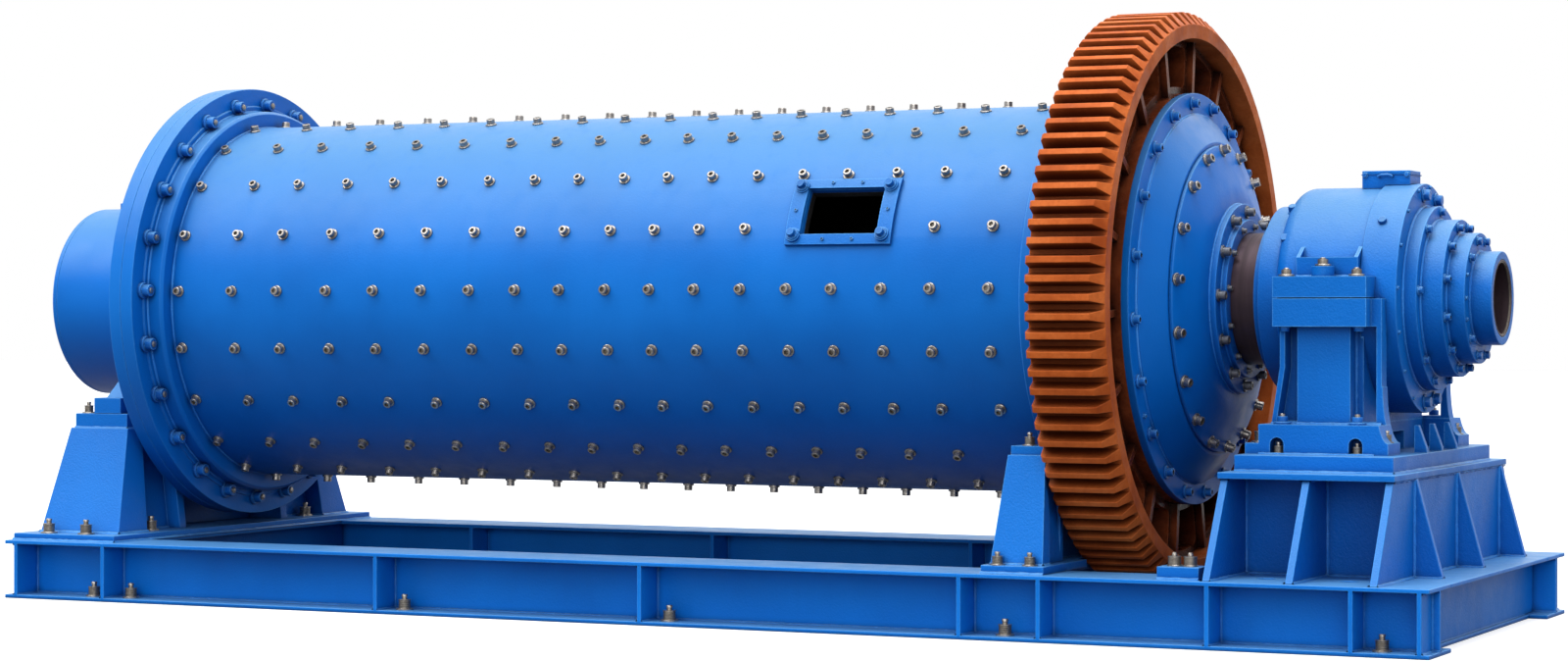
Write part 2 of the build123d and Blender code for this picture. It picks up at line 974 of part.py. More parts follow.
def outlet_sleeve():
    """Small bolted ring with the outlet sleeve."""
    bore = discharge_tube_radius * (1 + running_share)
    small = ring(small_cover_radius, bore, middle_cover_face, small_cover_face)
    return small + ring(outlet_radius, bore, small_cover_face, outlet_end)


# Drum

def manhole_block(length, width, start, end):
    """Box through the shell along the manhole's axis, from radius start to end."""
    x = shell_end - manhole_from_discharge
    angle = radians(manhole_angle)
    outward = (0, -cos(angle), sin(angle))
    plane = Plane(origin=(x, 0, axis_height), x_dir=(1, 0, 0), z_dir=outward)
    return extrude(plane.offset(start) * Rectangle(length, width), amount=end - start)


def drum_shell():
    """Rolled shell with the gear's seat band and the manhole cut through."""
    shell = ring(shell_radius, shell_inner, -shell_end, shell_end)
    band = ring(seat_radius, shell_inner, shell_end - seat_band_length, shell_end)
    cut = manhole_block(manhole_length, manhole_width, liner_inner / 2, shell_radius + overrun)
    return shell + band - cut


def shell_liner():
    """Wear lining inside the shell."""
    end = shell_end - liner_end_gap
    liner = ring(shell_inner, liner_inner, -end, end)
    return liner - manhole_block(manhole_length, manhole_width, liner_inner / 2, shell_radius)


def manhole_frame():
    """Raised curved frame round the manhole with four round bolt pads."""
    x = shell_end - manhole_from_discharge
    half = manhole_frame_length / 2
    outer = shell_radius + manhole_frame_height
    sector = manhole_block(manhole_frame_length, manhole_frame_width, liner_inner, outer + overrun)
    frame = ring(outer, shell_radius, x - half, x + half) & sector
    angle = radians(manhole_angle)
    outward = (0, -cos(angle), sin(angle))
    plane = Plane(origin=(x, 0, axis_height), x_dir=(1, 0, 0), z_dir=outward)
    pad_x = half - manhole_pad_inset
    pad_y = manhole_frame_width / 2 - manhole_pad_inset
    pad_top = sqrt(outer**2 - pad_y**2) + manhole_pad_height
    pad_height = pad_top - sqrt(shell_radius**2 - pad_y**2)
    for corner_x in (-pad_x, pad_x):
        for corner_y in (-pad_y, pad_y):
            pad = plane.offset(pad_top - pad_height) * Pos(corner_x, corner_y)
            round_pad = extrude(pad * Circle(manhole_pad_radius), amount=pad_height)
            frame = frame + (round_pad - disc(shell_radius, x - half, x + half))
    opening = manhole_block(manhole_length, manhole_width, liner_inner, outer + 2 * overrun)
    return frame - opening


def feed_flange():
    """Wide bolted flange and collar on the feed end of the shell."""
    face = -shell_end + feed_flange_thickness
    land_face = face + flange_land_length
    land_radius = shell_radius + flange_land_height
    collar_face = face + collar_length
    collar_radius = shell_radius + collar_height
    return turned([
        (-shell_end, shell_radius),
        (-shell_end, feed_flange_radius),
        (face, feed_flange_radius),
        (face, land_radius),
        (land_face, land_radius),
        (land_face, collar_radius),
        (collar_face - collar_chamfer, collar_radius),
        (collar_face, collar_radius - collar_chamfer),
        (collar_face, shell_radius),
    ])


def feed_head():
    """Cast end of the drum at the feed side."""
    step_radius = shell_radius - head_step_drop
    return turned([
        (-shell_end, feed_bore_radius),
        (-shell_end, feed_flange_radius),
        (feed_head_face, feed_flange_radius),
        (feed_head_face, step_radius),
        (head_step_face, step_radius),
        (head_cone_face, head_boss_radius),
        (head_boss_face, head_boss_radius),
        (head_boss_face, feed_bore_radius),
    ])


def feed_trunnion():
    """Hollow journal that turns in the feed bearing."""
    return ring(trunnion_radius, feed_bore_radius, feed_end, head_boss_face)


def discharge_head():
    """Cast end of the drum at the discharge side: bolted flange and outer cone."""
    step_radius = shell_radius - cover_step_drop
    return turned([
        (shell_end, step_radius - head_wall),
        (shell_end, cover_flange_radius),
        (cover_face, cover_flange_radius),
        (cover_face, step_radius),
        (cover_step_face, step_radius),
        (ridge_face, ridge_radius),
        (ridge_face, ridge_radius - head_wall),
    ])


def discharge_cone():
    """Inner cone bolted to the discharge head."""
    lip_radius = shell_radius - cone_lip_drop
    return turned([
        (ridge_face, trunnion_radius),
        (ridge_face, lip_radius),
        (lip_face, lip_radius),
        (cone_face, hub_seat_radius),
        (cone_face, trunnion_radius),
    ])


def hub_flange():
    """Bolted hub rings where the journal leaves the cone."""
    wide = ring(hub_flange_radius, trunnion_radius, cone_face, hub_face)
    return wide + ring(hub_ring_radius, trunnion_radius, hub_face, hub_ring_face)


def discharge_trunnion():
    """Hollow journal in the discharge bearing, with its tube to the outlet."""
    return turned([
        (ridge_face, discharge_bore_radius),
        (ridge_face, trunnion_radius),
        (bearing_right, trunnion_radius),
        (bearing_right, discharge_tube_radius),
        (outlet_end, discharge_tube_radius),
        (outlet_end, discharge_bore_radius),
    ])


# Girth gear

def polar(radius, angle):
    """Point on the plane across the axis, with the angle in degrees."""
    return (radius * cos(radians(angle)), radius * sin(radians(angle)))


def tooth_outline():
    """Closed outline of all the teeth."""
    pitch = 360 / tooth_count
    corners = [
        (root_radius, -tooth_root_share),
        (pitch_radius, -tooth_pitch_share),
        (tip_radius, -tooth_tip_share),
        (tip_radius, tooth_tip_share),
        (pitch_radius, tooth_pitch_share),
        (root_radius, tooth_root_share),
    ]
    points = []
    for tooth in range(tooth_count):
        for radius, share in corners:
            points.append(polar(radius, (tooth + share) * pitch))
    return make_face(Polyline(*points, close=True))


def girth_gear():
    """Toothed rim with chamfered tooth ends."""
    face = tooth_outline() - Circle(rim_radius)
    teeth = extrude(at_axis(gear_left) * face, amount=gear_width)
    tooth_height = tip_radius - root_radius
    envelope = turned([
        (gear_left, rim_radius - overrun),
        (gear_left, tip_radius - tooth_back_chamfer),
        (gear_left + tooth_back_chamfer, tip_radius),
        (gear_right - tooth_chamfer, tip_radius),
        (gear_right, tip_radius - tooth_height),
        (gear_right, rim_radius - overrun),
    ])
    return teeth & envelope


def spider_pockets():
    """Rounded pockets between the arms, as one sketch."""
    face = Circle(rim_radius - pocket_margin) - Circle(cover_flange_radius + pocket_margin)
    bar = Pos(rim_radius / 2, 0) * Rectangle(rim_radius, arm_waist)
    for arm in range(arm_count):
        face = face - Rot(0, 0, arm_angle + arm * 360 / arm_count) * bar
    return fillet(face.vertices(), pocket_fillet)


def gear_spider():
    """Cast hub ring, web and arms between the shell and the toothed rim."""
    hub = ring(cover_flange_radius, seat_radius, shell_end - spider_hub_length, shell_end)
    web_left = (gear_left + gear_right - spider_web) / 2
    web = ring(rim_radius, seat_radius, web_left, web_left + spider_web)
    pocket_start = at_axis(web_left + spider_back)
    web = web - extrude(pocket_start * spider_pockets(), amount=spider_web)
    rib_end = sqrt(rim_radius**2 - (arm_rib_width / 2) ** 2)
    rib_middle = (rib_end + cover_flange_radius) / 2
    rib_face = Pos(rib_middle, 0) * Rectangle(rib_end - cover_flange_radius, arm_rib_width)
    rib_start = at_axis(web_left - arm_rib_height)
    pieces = [hub, web]
    for arm in range(arm_count):
        turned_rib = Rot(0, 0, arm_angle + arm * 360 / arm_count) * rib_face
        pieces.append(extrude(rib_start * turned_rib, amount=spider_web + 2 * arm_rib_height))
    return joined(pieces)


parts = {
    "front_beam": front_beam(),
    "feed_end_cross_beam": end_cross_beam(frame_left + end_web_recess, -1),
    "feed_cross_beam": cross_beam(feed_pedestal_x + feed_sole_half_length - cross_beam_width / 2),
    "middle_cross_beam": cross_beam(middle_pedestal_x),
    "stand_cross_beam": cross_beam(stand_inner_x),
    "discharge_end_cross_beam": end_cross_beam(frame_right - end_web_recess, 1),
    "deck_plate": deck_plate(),
    "feed_sole_plate": feed_sole_plate(),
    "feed_pedestal_front": feed_pedestal(),
    "feed_cross_wall": feed_cross_wall(),
    "feed_saddle": feed_saddle(),
    "feed_bearing_housing": feed_bearing_housing(),
    "feed_end_cover": feed_end_cover(),
    "middle_sole_plate": middle_sole_plate(),
    "middle_pedestal_front": middle_pedestal(),
    "keeper_blocks": keeper_blocks(),
    "stand_front_wall": stand_front_wall(),
    "stand_end_wall": stand_end_wall(),
    "stand_inner_wall": stand_cross_wall(stand_inner_x),
    "stand_plate": stand_plate(),
    "bearing_bed": bearing_bed(),
    "bearing_base": bearing_base(),
    "bearing_housing": bearing_housing(),
    "bearing_cap": bearing_cap(),
    "inspection_box": inspection_box(),
    "bearing_seal_ring": bearing_seal_ring(),
    "bearing_end_flange": bearing_end_flange(),
    "bearing_outer_cover": bearing_outer_cover(),
    "outlet_sleeve": outlet_sleeve(),
    "drum_shell": drum_shell(),
    "shell_liner": shell_liner(),
    "manhole_frame": manhole_frame(),
    "feed_flange": feed_flange(),
    "feed_head": feed_head(),
    "feed_trunnion": feed_trunnion(),
    "girth_gear": girth_gear(),
    "gear_spider": gear_spider(),
    "discharge_head": discharge_head(),
    "discharge_cone": discharge_cone(),
    "hub_flange": hub_flange(),
    "discharge_trunnion": discharge_trunnion(),
}
parts["rear_beam"] = other_side(parts["front_beam"])
parts["feed_pedestal_rear"] = other_side(parts["feed_pedestal_front"])
parts["middle_pedestal_rear"] = other_side(parts["middle_pedestal_front"])
parts["stand_rear_wall"] = other_side(parts["stand_front_wall"])

os.makedirs("parts", exist_ok=True)
for name, part in parts.items():
    export_step(Pos(-part_middle, 0, 0) * part, f"parts/{name}.step")
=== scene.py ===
import random
from math import ceil, cos, pi, radians, sin, sqrt

import bmesh
import bpy
from mathutils import Matrix, Vector


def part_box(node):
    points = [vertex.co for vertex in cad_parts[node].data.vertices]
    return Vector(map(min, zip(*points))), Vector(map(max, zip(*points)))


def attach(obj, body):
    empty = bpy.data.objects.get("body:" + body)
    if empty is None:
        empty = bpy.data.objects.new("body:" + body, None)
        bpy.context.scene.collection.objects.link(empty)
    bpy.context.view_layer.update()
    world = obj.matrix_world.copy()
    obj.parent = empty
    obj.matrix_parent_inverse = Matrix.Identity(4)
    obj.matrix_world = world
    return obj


# A ball mill dressed round its CAD frame. Metres, +X along the drum to the discharge end,
# +Y away from the manhole side, +Z up, with the frame standing on Z = 0.
# Sizes of fasteners and welds are in millimetres, times MM. Angles round the drum are in
# degrees above the front horizontal.

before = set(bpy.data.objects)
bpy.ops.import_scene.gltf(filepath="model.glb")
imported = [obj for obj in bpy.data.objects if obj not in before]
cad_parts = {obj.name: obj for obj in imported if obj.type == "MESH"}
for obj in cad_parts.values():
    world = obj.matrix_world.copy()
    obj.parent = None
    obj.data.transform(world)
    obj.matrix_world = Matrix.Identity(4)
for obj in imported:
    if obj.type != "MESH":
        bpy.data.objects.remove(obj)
for default in ("Cube", "Light", "Camera"):
    if default in bpy.data.objects:
        bpy.data.objects.remove(bpy.data.objects[default])
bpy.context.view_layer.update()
random.seed(7)

MM = 0.001
FULL_TURN = 2 * pi
DRUM = "drum"
STAND = "frame"


# Places on the CAD frame

def low(node):
    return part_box(node)[0]


def high(node):
    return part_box(node)[1]


AXIS_Z = (low("drum_shell").z + high("drum_shell").z) / 2
SHELL_LEFT = low("drum_shell").x
SHELL_RIGHT = high("drum_shell").x
SHELL_LENGTH = SHELL_RIGHT - SHELL_LEFT
SHELL_RADIUS = 770 * MM
SEAT_LENGTH = 416 * MM

FEED_FLANGE_THICKNESS = 60 * MM
FEED_LAND_LENGTH = 8 * MM
COLLAR_END = SHELL_LEFT + FEED_FLANGE_THICKNESS + 80 * MM
COLLAR_RADIUS = 843 * MM
HEAD_FLANGE_THICKNESS = 58 * MM
HEAD_STEP_RADIUS = 690 * MM

COVER_FACE = SHELL_RIGHT + 30 * MM
CONE_LIP = SHELL_RIGHT + 130 * MM
CONE_LIP_RADIUS = 598 * MM
CONE_SEAT = low("hub_flange").x
CONE_SEAT_RADIUS = 395 * MM
HUB_RING_FACE = high("hub_flange").x
HUB_FACE = HUB_RING_FACE - 22 * MM

BEARING_LEFT = high("bearing_seal_ring").x
BEARING_LENGTH = 440 * MM
BEARING_RIGHT = BEARING_LEFT + BEARING_LENGTH
BEARING_MIDDLE = BEARING_LEFT + BEARING_LENGTH / 2
BEARING_RADIUS = 424 * MM
END_FLANGE_FACE = high("bearing_end_flange").x
MIDDLE_COVER_FACE = high("bearing_outer_cover").x
SMALL_COVER_FACE = MIDDLE_COVER_FACE + 71 * MM
LARGE_COVER_FACE = MIDDLE_COVER_FACE - 84 * MM
BED_TOP = high("bearing_bed").z
BASE_TOP = high("bearing_base").z
BASE_HALF_WIDTH = high("bearing_base").y
FOOT_WIDTH = 165 * MM
FOOT_HEIGHT = 40 * MM
SPLIT_HALF_WIDTH = high("bearing_housing").y
SPLIT_TOP = AXIS_Z + 80 * MM
SPLIT_FOOT = AXIS_Z - 106 * MM
COLUMN_HALF_WIDTH = 490 * MM
COLUMN_WIDTH = 203 * MM
COLUMN_RECESS = 78 * MM

MIDDLE_CAP_TOP = AXIS_Z - 554 * MM
BEAM_LEFT = low("front_beam").x
BEAM_RIGHT = high("front_beam").x
BEAM_LENGTH = BEAM_RIGHT - BEAM_LEFT
BEAM_TOP = high("front_beam").z
BEAM_OUTER = high("rear_beam").y
BEAM_INNER = low("rear_beam").y
BEAM_FLANGE = 16 * MM
WEB_Y = (BEAM_OUTER + BEAM_INNER) / 2
WEB_HALF = 7 * MM
STIFFENER_HALF = 9 * MM
SOLE_THICKNESS = 30 * MM
WALL = 28 * MM
STIFFENER_SHARES = (0.009, 0.082, 0.3, 0.495, 0.712, 0.763, 0.868, 0.954, 0.994)

RIGHTWARD = Vector((1.0, 0.0, 0.0))
UPWARD = Vector((0.0, 0.0, 1.0))


def beam_x(share):
    """Place along the beams, as a share of their length."""
    return BEAM_LEFT + share * BEAM_LENGTH


def radial(angle):
    """Direction out from the axis at an angle above the front horizontal."""
    return Vector((0.0, -cos(radians(angle)), sin(radians(angle))))


def from_axis(x, radius, angle):
    """Point round the drum's axis."""
    return Vector((x, 0.0, AXIS_Z)) + radius * radial(angle)


def set_at(point, direction):
    """Matrix that stands a fastener at a point along a direction, turned at random."""
    facing = Vector(direction).to_track_quat("Z", "Y").to_matrix().to_4x4()
    twist = Matrix.Rotation(random.uniform(0.0, FULL_TURN), 4, "Z")
    return Matrix.Translation(point) @ facing @ twist


# Materials

def new_material(name):
    """Empty node material and its Principled shader, with object coordinates."""
    material = bpy.data.materials.new(name)
    material.use_nodes = True
    nodes = material.node_tree.nodes
    nodes.clear()
    output = nodes.new("ShaderNodeOutputMaterial")
    shader = nodes.new("ShaderNodeBsdfPrincipled")
    material.node_tree.links.new(shader.outputs["BSDF"], output.inputs["Surface"])
    place = nodes.new("ShaderNodeTexCoord")
    return material, shader, place.outputs["Object"]


def new_node(material, kind, inputs, **settings):
    """Node with its settings made, and each input fed by a socket or set to a value."""
    node = material.node_tree.nodes.new(kind)
    for name, setting in settings.items():
        setattr(node, name, setting)
    for key, value in inputs.items():
        socket = node.inputs[key]
        if isinstance(value, bpy.types.NodeSocket):
            material.node_tree.links.new(value, socket)
        else:
            socket.default_value = (*value, 1.0) if socket.type == "RGBA" else value
    return node


def stretched(material, vector, scale):
    """Coordinates scaled along each axis."""
    inputs = {"Scale": scale, "Vector": vector}
    return new_node(material, "ShaderNodeMapping", inputs).outputs["Vector"]


def noise(material, vector, scale, detail=3.0, roughness=0.5):
    """Noise value of the given scale per metre."""
    inputs = {"Scale": scale, "Detail": detail, "Roughness": roughness, "Vector": vector}
    return new_node(material, "ShaderNodeTexNoise", inputs).outputs["Fac"]


def ramp(material, value, stops):
    """Colour from a value through (position, colour) stops."""
    node = new_node(material, "ShaderNodeValToRGB", {"Fac": value})
    elements = node.color_ramp.elements
    while len(elements) < len(stops):
        elements.new(0.5)
    for element, (position, colour) in zip(elements, stops):
        element.position = position
        element.color = (*colour, 1.0)
    return node.outputs["Color"]


def level(material, value, start, end, to_start, to_end):
    """Value mapped from one range to another, clamped."""
    inputs = {"From Min": start, "From Max": end, "To Min": to_start, "To Max": to_end}
    return new_node(material, "ShaderNodeMapRange", inputs | {"Value": value}).outputs["Result"]


def mixed(material, factor, first, second):
    """Mix of two colours by a value; each may be a socket or a colour."""
    inputs = {"Factor": factor, 6: first, 7: second}
    return new_node(material, "ShaderNodeMix", inputs, data_type="RGBA").outputs[2]


def stained(material, tone, value, start, end, amount, colour):
    """Tone mixed towards a colour as a value rises from start to end."""
    return mixed(material, level(material, value, start, end, 0.0, amount), tone, colour)


def calculated(material, operation, first, second):
    """Result of a sum on two values; each may be a socket or a number."""
    inputs = {0: first, 1: second}
    return new_node(material, "ShaderNodeMath", inputs, operation=operation).outputs["Value"]


def bumped(material, shader, height, distance, strength=1.0, normal=None):
    """Bump from a height value, chained after another normal."""
    inputs = {"Distance": distance, "Strength": strength, "Height": height}
    if normal is not None:
        inputs["Normal"] = normal
    node = new_node(material, "ShaderNodeBump", inputs)
    material.node_tree.links.new(node.outputs["Normal"], shader.inputs["Normal"])
    return node.outputs["Normal"]


def upward(material, start, end, amount):
    """Amount by how far a face looks up, from -1 below to 1 on top."""
    geometry = new_node(material, "ShaderNodeNewGeometry", {})
    inputs = {"Vector": geometry.outputs["Normal"]}
    parts = new_node(material, "ShaderNodeSeparateXYZ", inputs)
    return level(material, parts.outputs["Z"], start, end, 0.0, amount)


def edge_mask(material, radius, start, end):
    """1 near the edges of the solid and 0 on its flats, from a rounded normal."""
    rounded = new_node(material, "ShaderNodeBevel", {"Radius": radius}, samples=4)
    geometry = new_node(material, "ShaderNodeNewGeometry", {})
    normals = {0: rounded.outputs["Normal"], 1: geometry.outputs["Normal"]}
    product = new_node(material, "ShaderNodeVectorMath", normals, operation="DOT_PRODUCT")
    return level(material, product.outputs["Value"], end, start, 0.0, 1.0)


def hollow_mask(material, distance, start, end):
    """1 in gaps and inner corners and 0 in the open."""
    inputs = {"Distance": distance}
    shut_in = new_node(material, "ShaderNodeAmbientOcclusion", inputs, samples=6)
    return level(material, shut_in.outputs["AO"], start, end, 0.0, 1.0)


def dressed(material, shader, tone, rough, values):
    """Finished material, from its colour, its roughness and plain values."""
    material.node_tree.links.new(tone, shader.inputs["Base Color"])
    material.node_tree.links.new(rough, shader.inputs["Roughness"])
    for name, value in values.items():
        shader.inputs[name].default_value = value
    return material


# Light blue mixed onto the edges of the machine paint: a painted highlight.
EDGE_HIGHLIGHT_BLUE = (0.15, 0.53, 1.0)
# Dark blue mixed into creases and narrow gaps: painted shade.
CREASE_SHADE_BLUE = (0.0006, 0.022, 0.13)
# Whiter blue mixed onto faces that look up: a painted highlight from the light above.
TOP_HIGHLIGHT_BLUE = (0.078, 0.225, 0.44)
SHADED_BLUE = (0.0010, 0.050, 0.26)


def paint(name, base, light, dark, grain=1.0, gloss=0.38, edge=0.95, depth=0.6):
    """Thick machine paint: orange peel and faint runs, with painted highlights on edges and on faces
    that look up, and painted shade under faces, in recesses and in creases.
    """
    material, shader, place = new_material(name)
    broad = noise(material, place, 1.7, 3.0)
    tone = ramp(material, broad, ((0.30, dark), (0.52, base), (0.78, light)))
    # Faces that look up are painted lighter: a painted highlight.
    tone = mixed(material, upward(material, 0.24, 0.86, 0.9), tone, TOP_HIGHLIGHT_BLUE)
    # Faces that look down are painted darker: painted shade.
    tone = mixed(material, upward(material, -0.05, -0.95, 0.85), tone, SHADED_BLUE)
    # Deep recesses are painted darker: painted shade.
    recess = hollow_mask(material, 0.40, 0.72, 0.22)
    tone = mixed(material, calculated(material, "MULTIPLY", recess, depth), tone, SHADED_BLUE)
    runs = noise(material, stretched(material, place, (9.0, 9.0, 1.1)), 2.0, 5.0)
    tone = stained(material, tone, runs, 0.55, 0.8, 0.22, dark)
    tone = stained(material, tone, noise(material, place, 150.0, 2.0), 0.5, 0.8, 0.16, light)
    # Edges are painted lighter, broken up by noise: a painted highlight.
    edge_highlight = edge_mask(material, 0.008, 0.62, 0.985)
    broken = level(material, noise(material, place, 38.0, 4.0), 0.3, 0.6, 0.45, 1.0)
    edge_highlight = calculated(material, "MULTIPLY", edge_highlight, broken)
    tone = mixed(material, calculated(material, "MULTIPLY", edge_highlight, edge), tone, EDGE_HIGHLIGHT_BLUE)
    # Creases and narrow gaps are painted darker: painted shade.
    shut_in = hollow_mask(material, 0.040, 0.80, 0.30)
    tone = mixed(material, calculated(material, "MULTIPLY", shut_in, 0.85), tone, CREASE_SHADE_BLUE)
    smudges = noise(material, place, 11.0, 6.0, 0.62)
    rough = level(material, smudges, 0.3, 0.75, gloss - 0.05, gloss + 0.12)
    ripple = bumped(material, shader, noise(material, place, 9.0, 3.0), 0.003 * grain, 0.25)
    peel = noise(material, place, 120.0, 3.0, 0.55)
    bumped(material, shader, peel, 0.0020 * grain, 0.85, ripple)
    sheen = {"Specular IOR Level": 0.22, "Specular Tint": (0.7, 0.88, 1.0, 1.0)}
    return dressed(material, shader, tone, rough, sheen)


def primer(name, base, light, dark, edge, corner_shade, gloss):
    """Orange-brown primer: blotches, with painted shade in the corners and gaps and painted
    highlights on the edges.
    """
    material, shader, place = new_material(name)
    broad = noise(material, place, 5.0, 6.0, 0.6)
    tone = ramp(material, broad, ((0.3, dark), (0.5, base), (0.68, light)))
    fine = noise(material, place, 70.0, 5.0, 0.65)
    tone = stained(material, tone, fine, 0.45, 0.75, 0.45, dark)
    # Edges are painted lighter: a painted highlight.
    edge_highlight = edge_mask(material, 0.005, 0.5, 0.98)
    tone = mixed(material, calculated(material, "MULTIPLY", edge_highlight, 0.75), tone, edge)
    # Corners and gaps between teeth are painted darker: painted shade.
    tone = mixed(material, hollow_mask(material, 0.10, 0.9, 0.42), tone, corner_shade)
    rough = level(material, noise(material, place, 16.0, 5.0), 0.3, 0.7, gloss - 0.08, gloss + 0.16)
    ripple = bumped(material, shader, noise(material, place, 22.0, 4.0), 0.003, 0.4)
    bumped(material, shader, noise(material, place, 130.0, 3.0), 0.0008, 0.6, ripple)
    sheen = {"Specular IOR Level": 0.12, "Specular Tint": (1.0, 0.72, 0.55, 1.0)}
    return dressed(material, shader, tone, rough, sheen)


def turned_metal(name, base, dark, roughness):
    """Metal turned on a lathe: bands and fine lines round the axis, and stains."""
    material, shader, place = new_material(name)
    bands = noise(material, stretched(material, place, (1.0, 0.04, 0.04)), 34.0, 6.0, 0.7)
    stains = noise(material, place, 7.0, 6.0, 0.6)
    tone = stained(material, base, bands, 0.35, 0.7, 0.6, dark)
    tone = stained(material, tone, stains, 0.45, 0.75, 0.55, dark)
    rough = level(material, bands, 0.3, 0.7, roughness - 0.08, roughness + 0.15)
    lines = noise(material, stretched(material, place, (1.0, 0.02, 0.02)), 420.0, 3.0, 0.6)
    bumped(material, shader, lines, 0.0005, 0.5)
    return dressed(material, shader, tone, rough, {"Metallic": 0.6})


def bright_metal(name, base, dark, roughness):
    """Plated steel of bolts: small stains and scratches."""
    material, shader, place = new_material(name)
    stains = noise(material, place, 90.0, 4.0, 0.6)
    patches = noise(material, place, 3.0, 2.0)
    tone = stained(material, base, stains, 0.4, 0.75, 0.7, dark)
    tone = stained(material, tone, patches, 0.45, 0.7, 0.4, dark)
    rough = level(material, stains, 0.3, 0.7, roughness - 0.06, roughness + 0.16)
    bumped(material, shader, noise(material, place, 260.0, 2.0), 0.0004, 0.5)
    return dressed(material, shader, tone, rough, {"Metallic": 0.85})


def cast_liner(name):
    """Dark lining inside the drum, rubbed by wear."""
    material, shader, place = new_material(name)
    grime = noise(material, place, 14.0, 6.0, 0.65)
    tone = ramp(material, grime, ((0.3, (0.006, 0.006, 0.007)), (0.7, (0.02, 0.018, 0.017))))
    rough = level(material, noise(material, place, 40.0, 4.0), 0.3, 0.7, 0.55, 0.85)
    bumped(material, shader, noise(material, place, 60.0, 4.0), 0.002, 0.6)
    return dressed(material, shader, tone, rough, {"Metallic": 0.4})


MACHINE_BLUE = ((0.002, 0.150, 0.58), (0.004, 0.175, 0.65), (0.0015, 0.125, 0.50))
BLUE = paint("blue_paint", *MACHINE_BLUE)
SMOOTH_BLUE = paint("smooth_blue_paint", *MACHINE_BLUE, grain=0.3, gloss=0.36)
BEAM_BLUE = paint(
    "beam_blue_paint", (0.0025, 0.172, 0.66), (0.005, 0.200, 0.74), (0.002, 0.142, 0.57),
    grain=0.8, depth=0.0,
)
# Weld beads are painted a lighter blue than the machine paint: a painted highlight along the seams.
WELD = paint(
    "weld_paint", (0.03, 0.26, 0.80), (0.10, 0.40, 0.92), (0.008, 0.15, 0.58),
    grain=2.0, gloss=0.33,
)
FITTING = paint(
    "fitting_paint", (0.007, 0.13, 0.5), (0.03, 0.22, 0.72), (0.002, 0.05, 0.26),
    gloss=0.3, edge=0.8,
)
# Each primer takes a light colour for its painted edge highlight and a dark colour for its painted
# shade in corners and gaps.
GEAR = primer(
    "gear_primer", (0.52, 0.112, 0.022), (0.64, 0.160, 0.038), (0.32, 0.056, 0.010),
    edge=(0.80, 0.27, 0.10), corner_shade=(0.050, 0.008, 0.002), gloss=0.46,
)
SPIDER = primer(
    "spider_primer", (0.17, 0.036, 0.012), (0.30, 0.070, 0.022), (0.060, 0.014, 0.007),
    edge=(0.62, 0.20, 0.09), corner_shade=(0.014, 0.005, 0.004), gloss=0.24,
)
JOURNAL = turned_metal("journal_steel", (0.060, 0.036, 0.046), (0.020, 0.012, 0.014), 0.40)
STEEL = bright_metal("bolt_steel", (0.36, 0.335, 0.31), (0.11, 0.095, 0.08), 0.26)
GROOVED = bright_metal("washer_steel", (0.26, 0.235, 0.20), (0.09, 0.07, 0.055), 0.42)
HUB_STEEL = bright_metal("hub_steel", (0.20, 0.21, 0.23), (0.05, 0.05, 0.06), 0.34)
DARK_STEEL = bright_metal("dark_steel", (0.10, 0.11, 0.12), (0.03, 0.03, 0.035), 0.32)
LINER = cast_liner("liner_steel")

NODE_MATERIALS = {
    "front_beam": BEAM_BLUE,
    "rear_beam": BEAM_BLUE,
    "feed_end_cross_beam": BEAM_BLUE,
    "discharge_end_cross_beam": BEAM_BLUE,
    "drum_shell": SMOOTH_BLUE,
    "feed_flange": SMOOTH_BLUE,
    "feed_head": SMOOTH_BLUE,
    "feed_bearing_housing": SMOOTH_BLUE,
    "discharge_cone": SMOOTH_BLUE,
    "discharge_head": SMOOTH_BLUE,
    "girth_gear": GEAR,
    "gear_spider": SPIDER,
    "discharge_trunnion": JOURNAL,
    "feed_trunnion": JOURNAL,
    "shell_liner": LINER,
}
ROUND_EDGE = {
    "drum_shell": 2.0,
    "shell_liner": 2.0,
    "girth_gear": 2.2,
    "gear_spider": 5.0,
}


def dress_node(name, node):
    """Material and rounded edges for a CAD node."""
    node.data.materials.clear()
    node.data.materials.append(NODE_MATERIALS.get(name, BLUE))
    weld = node.modifiers.new("join_corners", "WELD")
    weld.merge_threshold = 0.02 * MM
    bevel = node.modifiers.new("rounded_edges", "BEVEL")
    bevel.width = ROUND_EDGE.get(name, 3.0) * MM
    bevel.segments = 2
    bevel.limit_method = "ANGLE"
    bevel.angle_limit = radians(32)
    bevel.use_clamp_overlap = True
    bevel.loop_slide = False
    smooth = node.modifiers.new("even_shading", "WEIGHTED_NORMAL")
    smooth.weight = 50
    smooth.keep_sharp = False


for name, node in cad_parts.items():
    dress_node(name, node)


# Small shapes, turned round their own upright axis

ROUND, HEX = "round", "hex"
SHARP = radians(38)


def reach(radius, form, angle):
    """Distance from the axis to a round or six-sided outline at an angle."""
    if form == ROUND:
        return radius
    return radius * cos(pi / 6) / cos((angle + pi / 6) % (pi / 3) - pi / 6)


def band(row, sides, mark=0):
    """Faces between one ring of vertices and the next."""
    start = row * sides
    pairs = [(start + k, start + (k + 1) % sides) for k in range(sides)]
    return [((a, b, b + sides, a + sides), mark) for a, b in pairs]


